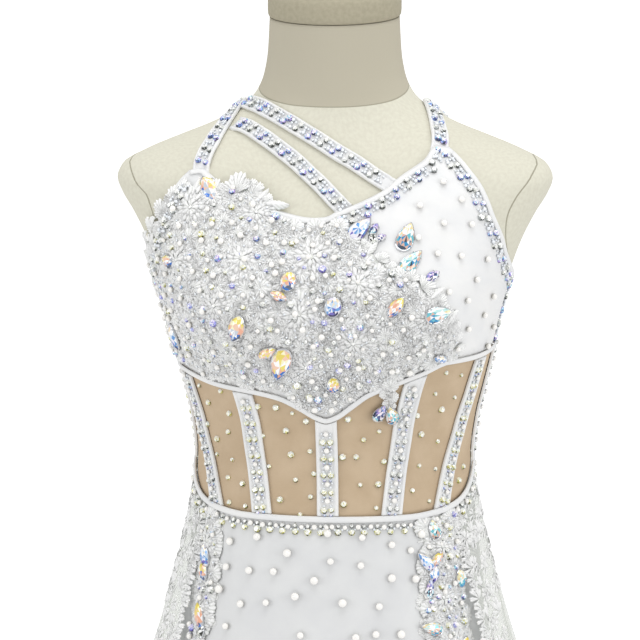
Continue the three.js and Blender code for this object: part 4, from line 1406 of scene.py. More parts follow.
def fans(directions: Sequence[float], lengths: Sequence[float], half: float, cords: int, rows: int = 5,
         rise: float = 0.2, cord: float = 0.075, start: float = 0.02, foot: float = 0.0) -> Shape:
    """A lace motif of unit size: fans of radiating cords round a centre, each lapping over the next.

    Across a fan t runs from -1 to 1, and outwards s from 0 to 1. The outline is rounded and notched
    between the cords, and the height is a low dome with a ridge along each cord.

    Args:
        directions, lengths: Each fan's direction in degrees, clockwise from north, and its length.
        half: Half of a fan's opening, in degrees.
        cords: Cords in each fan.
        rows: Spans outwards.
        rise, cord: How high the dome and its cords are.
        start: How far from the centre a fan starts.
        foot: The height that it stands on.

    Returns:
        The motif, with its top towards +Z and its cord attribute, which paints shade between the cords.
    """
    s = np.linspace(0, 1, rows + 1)[:, None]
    t = np.linspace(-1, 1, 4 * cords + 1)[None]
    ridge = 0.5 - 0.5 * np.cos(np.pi * cords * (t + 1)) + 0 * s
    edge = 0.78 + 0.22 * np.sqrt(1 - 0.85 * t * t) - 0.1 * (1 - ridge[:1])
    dome = (1 - s**2.4) * (0.45 + 0.55 * smooth(s / 0.35))
    z = foot + rise * dome + 0.05 * t * s
    z = z + cord * ridge * np.minimum(1, 0.5 + 2.5 * (1 - s)) * smooth(s / 0.15)
    # One more row drops the rim to the ground.
    z = np.concatenate([z, np.full_like(z[:1], -0.08)])
    # The cord attribute paints shade: the gaps between the cords and the rim that drops to the ground take
    # the gap's colour, and the cords darken a little towards the middle.
    shade = np.concatenate([ridge**0.5 * (0.75 + 0.25 * s), 0 * ridge[:1]])
    fan_faces = grid_faces(rows + 2, 4 * cords + 1)
    parts = []
    for direction, length in zip(directions, lengths):
        reach = start + (edge * length - start) * s
        turn = np.radians(direction + half * t * (0.89 + 0.11 * s))
        x, y = (np.concatenate([v, v[-1:]]) for v in (reach * np.sin(turn), reach * np.cos(turn)))
        parts.append(Shape(np.stack([x, y, z], -1).reshape(-1, 3), [fan_faces], [True], cord=shade.ravel()))
    return Shape.joined(parts)


def leaf(width: float = 0.2, veins: int = 5, rise: float = 0.1) -> Shape:
    """A lace leaf of unit length: a middle rib, slanted veins and a notched edge.

    Args:
        width: Its half width.
        veins: Veins on each side.
        rise: How high its middle is.

    Returns:
        The leaf, which points north from its stalk.
    """
    s = np.linspace(0, 1, 4 * veins + 1)[:, None]
    t = np.linspace(-1, 1, 9)[None]
    vein = 0.5 - 0.5 * np.cos(2 * np.pi * (veins * s - 1.1 * np.abs(t)))
    rib = np.exp(-((t / 0.2) ** 2)) + 0 * s
    half = width * np.sin(np.pi * np.clip(s, 0, 1) ** 0.75) ** 0.8 * (1 - 0.22 * (1 - vein[:, :1])) + 0.012
    z = rise * (1 - t * t) + 0.05 * vein * (1 - rib) + 0.06 * rib
    z[:, [0, -1]] = -0.04
    # The cord attribute paints shade between the veins and along the edge.
    cord = np.maximum(vein, rib)
    cord[:, [0, -1]] = 0
    points = np.stack([half * t, s + 0.06 * np.abs(t) * np.sin(np.pi * s), z], -1)
    return Shape(points.reshape(-1, 3), [grid_faces(*z.shape)], [True], cord=cord.ravel())


def copies(template: Shape, count: int, points: Array) -> Shape:
    """Copies a template's faces and attributes for an array of points, one row for each copy."""
    starts = np.arange(count)[:, None, None] * len(template.points)
    whole = Shape(
        points.reshape(-1, 3),
        [(f[None] + starts).reshape(-1, f.shape[1]) for f in template.faces],
        list(template.smooth),
    )
    if template.cord is not None:
        whole.cord = np.tile(template.cord, count)
    return whole


def turned_template(template: Shape, spots: Spots) -> Array:
    """The template's points for each spot, scaled by its size and turned."""
    t = np.radians(spots.turn)[:, None]
    x, y, z = (template.points[None, :, k] * spots.size[:, None] for k in range(3))
    return np.stack([x * np.cos(t) - y * np.sin(t), x * np.sin(t) + y * np.cos(t), z], -1)


def lay_on(template: Shape, spots: Spots, surface: Surface, lift: float) -> Shape:
    """Lays copies of a template so that they follow a surface: +X runs round it and +Y up it.

    Args:
        template: A shape of unit size.
        spots: Where the copies lie.
        surface: What they lie on.
        lift: How far off it they are.

    Returns:
        All the copies as one shape.
    """
    p = turned_template(template, spots)
    by_angle, by_height = surface.steps(spots.angle, spots.height)
    around = np.linalg.norm(by_angle, axis=1)
    lean = (by_height * by_angle).sum(1) / around
    up = np.linalg.norm(by_height - by_angle * (lean / around)[:, None], axis=1)
    height = spots.height[:, None] + p[..., 1] / up[:, None]
    angle = spots.angle[:, None] + (p[..., 0] - p[..., 1] * (lean / up)[:, None]) / around[:, None]
    return copies(template, len(spots), surface.lifted(angle, height, lift + p[..., 2]))


def set_on(template: Shape, spots: Spots, surface: Surface, lift: float) -> Shape:
    """Sets rigid copies of a template on a surface, each upright on it."""
    p = turned_template(template, spots)
    by_angle, by_height = surface.steps(spots.angle, spots.height)
    east = unit(by_angle)
    normal = unit(np.cross(by_angle, by_height))
    north = np.cross(normal, east)
    origin = surface.lifted(spots.angle, spots.height, lift)
    axes = enumerate((east, north, normal))
    placed = origin[:, None] + sum(p[..., [k]] * axis[:, None] for k, axis in axes)
    return copies(template, len(spots), placed)


def inside(outline: Rows, angle: Array, height: Array) -> Array:
    """Whether points lie in an outline: a line from each one crosses it an odd number of times."""
    p = np.array(outline, float)
    q = np.roll(p, -1, 0)
    crosses = (p[:, 1] > height[:, None]) != (q[:, 1] > height[:, None])
    rise = np.where(q[:, 1] == p[:, 1], 1e-9, q[:, 1] - p[:, 1])
    at = p[:, 0] + (height[:, None] - p[:, 1]) * (q[:, 0] - p[:, 0]) / rise
    return (crosses & (angle[:, None] < at)).sum(1) % 2 == 1


def scattered(outline: Rows, spacing: float, rng: np.random.Generator, clear_of: Spots | None = None,
              clearance: float = 1.0) -> Spots:
    """Spots spread over an outline: a grid of triangles whose points are shaken.

    Args:
        outline: Angles and heights round the area.
        spacing: The distance between neighbours.
        rng: Random numbers.
        clear_of: Spots to keep away from.
        clearance: How far, as a share of each one's size.

    Returns:
        Spots of size 1 with random turns.
    """
    (a0, h0), (a1, h1) = np.min(outline, 0), np.max(outline, 0)
    rows = np.arange(h0, h1, spacing * 0.87)
    cols = np.arange(a0 * Line.STRETCH, a1 * Line.STRETCH, spacing)
    x, y = np.meshgrid(cols, rows)
    x = x + (np.arange(len(rows)) % 2)[:, None] * spacing / 2
    shake = rng.uniform(-0.3, 0.3, (2, *x.shape)) * spacing
    angle, height = ((x + shake[0]) / Line.STRETCH).ravel(), (y + shake[1]).ravel()
    keep = inside(outline, angle, height)
    if clear_of is not None:
        away = np.hypot((angle[:, None] - clear_of.angle) * Line.STRETCH, height[:, None] - clear_of.height)
        keep &= (away > clear_of.size * clearance).all(1)
    return Spots.of(angle[keep], height[keep], 1.0, rng.uniform(0, 360, keep.sum()))


@dataclass(frozen=True)
class LaceArea:
    """A patch of lace: its four edges, its large flowers, and where and how far leaves stick out of it.

    fringed names edges, each with the stretch that has leaves, as shares of its length.
    """

    name: str
    node: str
    surface: Surface
    bottom: Rows
    left: Rows
    top: Rows
    right: Rows
    flowers: Rows
    fringed: dict[str, tuple[float, float]]
    fringe: float
    cells: tuple[int, int]
    # Fans and leaves set one by one at the edge, as angle, height, size and turn, and the small stones'
    # spacing.
    sprays: Rows = ()
    blades: Rows = ()
    stones: float = 13.0
    # How far off the surface the fans and leaves at the edge lie, and what the lace is sewn to.
    edge_lift: float = LACE_LAYER + 0.9
    rests_on: str = "bodice_front_laced"

    @property
    def outline(self) -> Array:
        """The edges as one line, anticlockwise."""
        return np.array([*self.bottom, *self.right, *self.top[::-1], *self.left[::-1]], float)


BODICE_LACE = LaceArea(
    "bodice", "lace_bodice", BODY,
    bottom=(
        (-96, 74), (-80, 73), (-68, 71.5), (-50, 66.5), (-33, 63.5), (-22, 59.5), (-12, 51.5), (-5, 45),
        (0, 42.5), (5, 45), (12, 53), (20, 63), (30, 71), (40, 78.5), (53, 85),
    ),
    left=(
        (-96, 74), (-96, 100), (-94, 126), (-83, 138), (-74, 149), (-68, 160), (-64, 174), (-61, 188),
        (-59.5, 200),
    ),
    top=(
        (-59.5, 200), (-56, 201), (-51, 198), (-45, 201), (-40, 204), (-36, 199), (-31, 193), (-25, 188),
        (-20, 182), (-16.5, 177), (-8, 175), (0, 175.8), (8, 178),
    ),
    right=(
        (53, 85), (49, 95), (44, 108), (40, 122), (33, 137), (27, 143), (22, 153), (16, 163), (13, 171),
        (8, 178),
    ),
    flowers=(
        (-54, 187, 17, 10), (-81, 126, 19, 40), (-31, 184, 16, 0), (-55, 150, 18, 20), (-6, 155, 19, 50),
        (-84, 88, 16, 5), (-60, 108, 18, 30), (-31, 152, 17, 0), (-37, 121, 15, 25), (14, 137, 18, 0),
        (-10, 116, 18, 60), (-46, 85, 14, 15), (12, 97, 17, 30), (35, 115, 14, 0), (-8, 78, 15, 10),
    ),
    fringed={"left": (0.2, 0.97), "top": (0.03, 0.56), "right": (0.0, 0.9)},
    fringe=9.5,
    cells=(100, 60),
    sprays=(
        (-41, 197, 17, 8), (-35.5, 196, 12, -35), (-59.5, 191, 12, 20), (-62, 183, 12, 48),
        (-66, 172, 11, 60), (-71, 162, 10, 65),
    ),
    blades=((-33, 191, 14, -42), (-29, 190, 19, -92), (-31, 186, 13, -75)),
)
HIP_LACE = (
    LaceArea(
        "hip_plain_side", "lace_hip_plain_side", UNDER,
        bottom=((44, -140), (49, -158), (55, -166), (63.5, -160)),
        left=((44, -140), (43.5, -110), (44.5, -90), (46, -70), (46, -46)),
        top=((46, -46), (52, -43), (58, -41.5), (63.5, -39)),
        right=((63.5, -160), (63.5, -39)),
        flowers=((54, -62, 16, 0), (52, -99, 16, 10), (55, -135, 17, 20)),
        fringed={"left": (0.0, 0.95), "bottom": (0.0, 0.9)},
        fringe=7.0,
        cells=(24, 70),
        stones=8.5,
        edge_lift=LACE_LAYER - 0.5,
        rests_on="underskirt_front_panel",
    ),
    LaceArea(
        "hip_lace_side", "lace_hip_lace_side", UNDER,
        bottom=((-63.5, -150), (-58, -143), (-52, -120)),
        left=((-63.5, -150), (-63.5, -40)),
        top=((-63.5, -40), (-58, -43), (-54, -52)),
        right=((-52, -120), (-53, -90), (-54, -52)),
        flowers=((-59, -62, 15, 10), (-58, -112, 15, 30)),
        fringed={"right": (0.0, 1.0)},
        fringe=6.5,
        cells=(18, 60),
        stones=8.5,
        edge_lift=LACE_LAYER - 0.5,
        rests_on="underskirt_front_panel",
    ),
)


@dataclass
class Applique:
    """Corded lace: a ground, large and small flowers on it, and leaves that stick out from its edges."""

    ground_lift: float = LACE_LAYER
    ground: float = 0.8
    flower_lift: float = LACE_LAYER + 0.9
    small: float = 8.2
    small_spacing: float = 9.6
    leaf_spacing: float = 8.5
    net_spacing: float = 19.0
    # Where lace shows on the overskirt's net, on the +X side: from its front edge, down to these heights.
    net_lace: Rows = (
        (66.5, -42), (66.5, -330), (72, -250), (80, -170), (88, -110), (98, -45), (98, -8), (81, -26),
    )
    # The tail's flowers, as angle, height, size and turn.
    tail_flowers: Rows = (
        (28, 64, 6.5, 0), (27, 58, 5.5, 40), (29.5, 55, 5.5, 80), (28.5, 50, 4.5, 20), (30, 48, 4, 60),
    )
    seed: int = 11

    def __post_init__(self) -> None:
        """Draws the motifs once."""
        self.rng = np.random.default_rng(self.seed)
        self.rose = Shape.joined([
            fans(np.arange(7) * 360 / 7, [1] * 7, 28, 4, 4, rise=0.05, cord=0.045, start=0.4),
            fans(np.arange(6) * 60 + 17, [0.7] * 6, 33, 3, 4, rise=0.05, cord=0.045, start=0.2, foot=0.04),
            fans(np.arange(5) * 72 + 5, [0.42] * 5, 40, 2, 3, rise=0.06, cord=0.04, foot=0.09),
        ])
        self.daisy = fans([0, 72, 144, 216, 288], [1] * 5, 42, 3, 3, rise=0.12, cord=0.08)
        self.palmette = fans([-46, 46, 0], [0.8, 0.8, 1.0], 27, 4, rise=0.1, cord=0.08)
        self.leaf = leaf()
        self.flat_flower = fans([0, 60, 120, 180, 240, 300], [1] * 6, 21, 2, 3, rise=0.05, cord=0.03)
        self.sprig = fans([-76, -38, 0, 38, 76], [0.7, 0.9, 1, 0.9, 0.7], 12, 2, 3, rise=0.05, cord=0.03)

    def border(self, area: LaceArea) -> tuple[Spots, Spots]:
        """Spots for palmettes and leaves along an area's fringed edges, pointing outwards."""
        palmettes, leaves = [], []
        for name, (start, end) in area.fringed.items():
            track = Track(area.surface, getattr(area, name))
            outward = 0 if name in ("left", "top") else 180
            side = 1 if outward == 0 else -1
            along = np.arange(start * track.length, end * track.length, self.leaf_spacing)
            along = along + self.rng.uniform(-1.5, 1.5, len(along))
            sizes = self.rng.uniform(0.8, 1.25, len(along)) * area.fringe
            turns = outward + self.rng.uniform(-28, 28, len(along))
            is_leaf = np.arange(len(along)) % 3 == 1
            for found, keep, inset, scale in ((palmettes, ~is_leaf, 1.5, 1.0), (leaves, is_leaf, 3.0, 1.25)):
                found.append(track.spots(along[keep], -inset * side, sizes[keep] * scale, turns[keep]))
        return Spots.joined(palmettes), Spots.joined(leaves)

    def area(self, area: LaceArea) -> None:
        """Makes one patch of lace."""
        grid = coons(area.bottom, area.top, area.left, area.right, *area.cells)
        Panel(f"lace_ground_{area.name}", [area.node], LACE, area.surface, grid, lift=self.ground_lift,
              thickness=self.ground, held="laid", rests_on=(area.rests_on,)).build()
        large = Spots.of(*(np.array(area.flowers, float)[:, k] for k in range(4)))
        small = scattered(area.outline, self.small_spacing, self.rng, large, 0.55)
        small.size = self.rng.uniform(0.85, 1.15, len(small)) * self.small
        palmettes, leaves = self.border(area)
        if area.sprays:
            palmettes = Spots.joined([palmettes, Spots.of(*np.array(area.sprays, float).T)])
            leaves = Spots.joined([leaves, Spots.of(*np.array(area.blades, float).T)])
        for name, template, spots, lift in (
            ("roses", self.rose, large, self.flower_lift),
            ("daisies", self.daisy, small, self.flower_lift),
            ("palmettes", self.palmette, palmettes, area.edge_lift),
            ("leaves", self.leaf, leaves, area.edge_lift),
        ):
            lay_on(template, spots, area.surface, lift).build(f"lace_{name}_{area.name}", LACE)

    def on_net(self) -> None:
        """Thinner lace on the overskirt's sides: small flowers, sparser lower down, and leaves."""
        for side, name in ((1, "plain_side"), (-1, "lace_side")):
            outline = np.array(self.net_lace, float) * (side, 1)
            flowers = scattered(outline, self.net_spacing, self.rng)
            shown = self.rng.uniform(0, 1, len(flowers)) > np.clip((-120 - flowers.height) / 260, 0, 0.7)
            flowers = flowers.only(shown)
            flowers.size = self.rng.uniform(0.8, 1.2, len(flowers)) * self.small * 0.8
            sprigs = scattered(outline, self.net_spacing * 0.75, self.rng)
            sprigs.size = self.rng.uniform(8, 12, len(sprigs))
            # Sprigs that lap over the gore's front edge, towards the front.
            height = np.arange(-44, -330, -7.5)
            edge = Spots.of(side * (SKIRT_FRONT_EDGE + 1.2), height, self.rng.uniform(8, 12, len(height)),
                            side * (90 + self.rng.uniform(-50, 30, len(height))))
            for kind, template, spots in (
                ("flowers", self.flat_flower, flowers), ("sprigs", self.sprig, Spots.joined([sprigs, edge])),
            ):
                lay_on(template, spots, OVER, LAYER_GAP + 0.3).build(f"lace_{kind}_net_{name}", NET_LACE)

    def tail(self) -> None:
        """The small lace tail over the cup's hem, from which two stones hang."""
        spots = Spots.of(*np.array(self.tail_flowers).T)
        lay_on(self.daisy, spots, BODY, TOP_LAYER + 2.0).build("lace_tail", LACE)

    def build(self) -> None:
        """Makes all the lace."""
        for area in (BODICE_LACE, *HIP_LACE):
            self.area(area)
        self.on_net()
        self.tail()


# Stones, pearls and beads


class Cut(Enum):
    """The outline of a stone, as half width and half length round a turn."""

    ROUND = "round"
    OVAL = "oval"
    DROP = "drop"
    MARQUISE = "marquise"

    def outline(self, turn: Array) -> Array:
        """Points of the outline within a unit square, a drop's tip at the top."""
        c, s = np.cos(turn), np.sin(turn)
        if self is Cut.DROP:
            c = 1.15 * c * ((1 - s) / 2) ** 0.35
        if self is Cut.MARQUISE:
            c = c * np.abs(c) ** 0.6
        return np.stack([c, s], -1) / 2


class Hue(Enum):
    """The colours that a stone's facets show: the glass's and its coating's own, white for painted
    highlights, and greys and near-blacks for painted reflections.
    """

    CLEAR = ("#F4F5F5", "#A4A9A9", "#555A55", "#E9E9E2", "#FFFFFF", "#2B2E29", "#DDE0D8", "#F8F8F8")
    AURORA = (
        "#E9EEF8", "#7E97D6", "#B7A0E0", "#F5E9F2", "#4E5E92", "#FFFFFF", "#2F3853", "#9CD5E6", "#FFFFFF",
    )
    CHAMPAGNE = ("#F7F5E2", "#D2CE78", "#FFFFFF", "#84814F", "#3E3E28", "#F0EED2", "#E6EEEA", "#FFFFFF")
    LILAC = ("#7F78CC", "#C9C2EC", "#EDEAF8", "#5A50A2", "#FFFFFF", "#A9B8EC")
    GOLD_AND_BLUE = (
        "#E8D466", "#FBF6CE", "#F1DF74", "#F4CDB4", "#FFFFFF", "#EFB095", "#C9D2DE", "#2F74CE", "#5C6780",
    )
    TEAL = ("#F8F2C4", "#F3D9A0", "#FFFFFF", "#C6ECEA", "#F6F8F8", "#6FC4D2", "#E3B8A4", "#3492C6", "#3F4C60")
    VIOLET = ("#E9E4F2", "#F6E6C8", "#FFFFFF", "#CFE2F4", "#6B9FDC", "#F1EEF8", "#766CC2", "#332D66")

    @property
    def colours(self) -> Array:
        """The colours as linear values."""
        return np.array([linear(c)[:3] for c in self.value])


@dataclass(frozen=True)
class Stone:
    """A large stone in a setting: place, size in millimetres, turn in degrees, cut and colours."""

    angle: float
    height: float
    length: float
    width: float
    turn: float
    cut: Cut = Cut.DROP
    hue: Hue = Hue.GOLD_AND_BLUE


BODICE_STONES = (
    Stone(-51, 200, 22, 14, 34, Cut.MARQUISE),
    Stone(-59, 149, 12, 9, 62),
    Stone(-14, 138, 14, 11, -18, Cut.OVAL),
    Stone(-17, 128.5, 13, 7, 68, Cut.MARQUISE),
    Stone(-30, 107, 21, 12, -20, Cut.MARQUISE),
    Stone(-22, 90.5, 15, 8, -58, Cut.MARQUISE),
    Stone(-18, 81, 27, 15, 165),
    Stone(-66.5, 92, 20, 9, 6, Cut.MARQUISE, Hue.VIOLET),
    Stone(4, 65, 12, 9, -8, Cut.OVAL),
    Stone(4.5, 121, 14, 12, -15, Cut.OVAL, Hue.VIOLET),
    Stone(25.5, 122, 17, 9, -38, Cut.MARQUISE),
    Stone(15.5, 174, 22, 13, -42, Cut.DROP, Hue.VIOLET),
    Stone(21.5, 174, 10, 6, -30, Cut.MARQUISE, Hue.AURORA),
    Stone(20.5, 168, 9, 6, 10, Cut.OVAL, Hue.CLEAR),
    Stone(23.5, 168, 9, 5, -60, Cut.MARQUISE, Hue.AURORA),
    Stone(33, 169, 22, 13, -22, Cut.DROP, Hue.TEAL),
    Stone(32.5, 152, 22, 12, -45, Cut.DROP, Hue.TEAL),
    Stone(38, 141.5, 14, 7, -58, Cut.MARQUISE, Hue.AURORA),
    Stone(38.5, 117, 21, 12, -80, Cut.DROP, Hue.TEAL),
    Stone(44, 85, 12, 6, 78, Cut.MARQUISE, Hue.VIOLET),
)
HIP_STONES = (
    Stone(51, -48.5, 15, 10, 18, Cut.DROP, Hue.TEAL), Stone(45.5, -71, 17, 9, 42, Cut.DROP, Hue.VIOLET),
    Stone(51, -70, 13, 8, -48), Stone(48.8, -81, 13, 8, -14, Cut.MARQUISE, Hue.VIOLET),
    Stone(46, -91, 14, 7, -12, Cut.DROP, Hue.AURORA), Stone(62, -88, 13, 10, 0, Cut.OVAL, Hue.TEAL),
    Stone(45.5, -120, 18, 10, 72, Cut.DROP, Hue.TEAL), Stone(46.5, -143, 21, 12, -28, Cut.MARQUISE),
    Stone(59, -140, 21, 12, -32), Stone(54, -160, 18, 10, 15, Cut.DROP, Hue.TEAL),
    Stone(-59, -73, 17, 9, 20, Cut.DROP, Hue.VIOLET), Stone(-58.5, -85, 14, 8, 22, Cut.MARQUISE),
    Stone(-57.5, -118, 21, 9, 24, Cut.MARQUISE), Stone(-55.5, -129, 10, 6, -20, Cut.OVAL, Hue.CLEAR),
)
HANGING_STONES = (
    Stone(25.5, 43, 14, 9, -28, Cut.DROP, Hue.AURORA),
    Stone(31.0, 41, 15, 10, 20, Cut.DROP, Hue.TEAL),
)

# Pearls and small stones one by one, as angle and height, as the photograph shows them.
CUP_PEARLS = (
    (51.5, 206), (41, 190), (47, 178), (55.5, 177), (37, 168), (42, 157), (50, 155), (60, 152), (55, 138),
    (43, 131), (66, 124), (51, 124), (62.5, 111), (54, 103), (74, 99), (73, 85), (54.5, 194),
)
SKIRT_PEARLS = (
    (-46.5, -59), (-33, -53), (-18, -63), (-47, -78), (-35.5, -78), (-24, -77), (-5, -82), (2.5, -68),
    (16.5, -71), (17.5, -51), (1, -48), (31, -57), (39.5, -62), (30, -81), (40.5, -83), (-49, -95),
    (-38, -103), (-26.5, -100), (-13.5, -94), (8, -98), (24, -101), (-44, -121), (-10.5, -122), (13.5, -123),
    (22, -121),
    (32.5, -122), (45, -51), (45, -96),
)
MESH_STONES = (
    (-62.5, 55), (-59.5, 43), (-64, 25), (-49.5, 54), (-48.5, 37), (-51, 22), (-58.5, 15), (-59.5, 3),
    (-50, 1), (-52, -13), (-43.5, -16), (-50, -31), (-41, -32), (-32.5, 45), (-24, 45), (-16.5, 41),
    (-10, 35),
    (-20.5, 27), (-32.5, 22), (-18.5, 9), (-8.5, 12), (-30, -1), (-16, -10), (-6.5, -5), (-23.5, -25),
    (-8, -22), (-13, -35), (11, 37), (26.5, 27), (19, 21), (15.5, 8), (8.5, 8), (29.5, 4), (26.5, -13),
    (17.5, -13), (9, -27), (25, -30), (41.5, 63), (51.5, 70), (49.5, 54), (43.5, 38), (55, 41), (47, 23),
    (56, 16), (47, -1), (55.5, -5), (43, -19), (51, -28), (60.5, 49), (60.5, 66), (74, -8), (69.5, -17),
)


def gem(cut: Cut, sides: int, levels: Rows, tip: float) -> Shape:
    """A cut stone of unit size: rings of its outline, joined by facets, with a fan on top.

    Args:
        cut: Its outline.
        sides: Points in each ring.
        levels: Each ring's share of the full outline, height and turn in half steps (0 or 1).
        tip: The middle's height.

    Returns:
        The stone with its top towards +Z. Neighbouring rings of one turn are joined by four-sided
        facets, others by triangles.
    """
    i = np.arange(sides)
    j = (i + 1) % sides
    rings, triangles, quads = [], [], []
    for k, (reach, height, half_turn) in enumerate(levels):
        outline = cut.outline(2 * np.pi * (i + half_turn / 2) / sides) * reach
        rings.append(np.concatenate([outline, np.full((sides, 1), height)], 1))
        if k == 0:
            continue
        low, high = (k - 1) * sides, k * sides
        if levels[k - 1][2] == half_turn:
            quads.append(np.stack([low + i, low + j, high + j, high + i], -1))
        else:
            lower, upper = (j, i) if half_turn else (i, j)
            triangles.append(np.stack([low + i, low + j, high + upper], -1))
            triangles.append(np.stack([low + lower, high + j, high + i], -1))
    top = (len(levels) - 1) * sides
    triangles.append(np.stack([top + i, top + j, np.full(sides, len(levels) * sides)], -1))
    points = np.concatenate([*rings, [[0, 0, tip]]])
    faces = [np.concatenate(triangles)] + ([np.concatenate(quads)] if quads else [])
    return Shape(points, faces, [False] * len(faces))


def speckled(template: Shape, turns: Array, hue: Hue, rng: np.random.Generator) -> list[Array]:
    """A colour for each facet of turned copies of a small crystal: painted light on top, painted shade at its
    lower side.
    """
    colours = hue.colours[np.argsort(hue.colours.sum(1))]
    tints_and_reflections = []
    for faces in template.faces:
        middle = template.points[faces].mean(1)
        on_top = middle[:, 2] > 0.85 * template.points[:, 2].max()
        upward = np.sin(np.radians(turns)[:, None] + np.arctan2(middle[:, 1], middle[:, 0]))
        share = rng.uniform(0, 1, (len(turns), len(faces)))
        # Top facets get the lighter colours as painted light; side facets darken towards the lower side as
        # painted shade.
        share = np.where(on_top, 0.3 + 0.7 * share, 0.2 + 0.45 * share + 0.3 * upward)
        tints_and_reflections.append(colours[(np.clip(share, 0, 0.999) * len(colours)).astype(int)].reshape(-1, 3))
    return tints_and_reflections


def zoned(stone: Shape, turn: float, hue: Hue, rng: np.random.Generator) -> list[Array]:
    """A colour for each facet of a turned large stone: the hue's colours in order down it, a little mixed, so
    that the coating's colours lie lighter at the top as painted light and darker at the bottom as painted
    shade.
    """
    # The way points down the stone, so the hue's last colours, dark in most hues, paint shade low on it.
    way = math.radians(rng.uniform(-125, -55) - turn)
    reach = np.abs(stone.points[:, :2]).max()
    tints_and_reflections = []
    for faces in stone.faces:
        across = stone.points[faces][:, :, :2].mean(1) @ (np.cos(way), np.sin(way)) / reach
        share = np.clip(0.5 + 0.52 * across + rng.normal(0, 0.13, len(faces)), 0, 0.999)
        tints_and_reflections.append(hue.colours[(share * len(hue.colours)).astype(int)])
    return tints_and_reflections


def ball(rows: int, cols: int, squash: float) -> Shape:
    """A bead of unit radius that stands on the ground, down to a narrow foot. cord tells its upper part; the
    rest takes a painted shade.
    """
    t = np.linspace(0.35, np.pi, rows + 1)[:-1, None]
    phi = np.linspace(0, 2 * np.pi, cols, endpoint=False)[None]
    z = squash * (1 - np.cos(t)) + 0 * phi
    points = np.stack([np.sin(t) * np.cos(phi), np.sin(t) * np.sin(phi), z], -1).reshape(-1, 3)
    i = (rows - 1) * cols + np.arange(cols)
    cap = np.stack([i, np.roll(i, -1), np.full(cols, rows * cols)], -1)
    points = np.concatenate([points, [[0, 0, 2 * squash]]])
    # Below its middle a bead takes the painted shade of its foot.
    above_middle = smooth((points[:, 2] / squash - 0.5) / 0.9)
    return Shape(points, [grid_faces(rows, cols, ring=True), cap], [True, True], cord=above_middle)


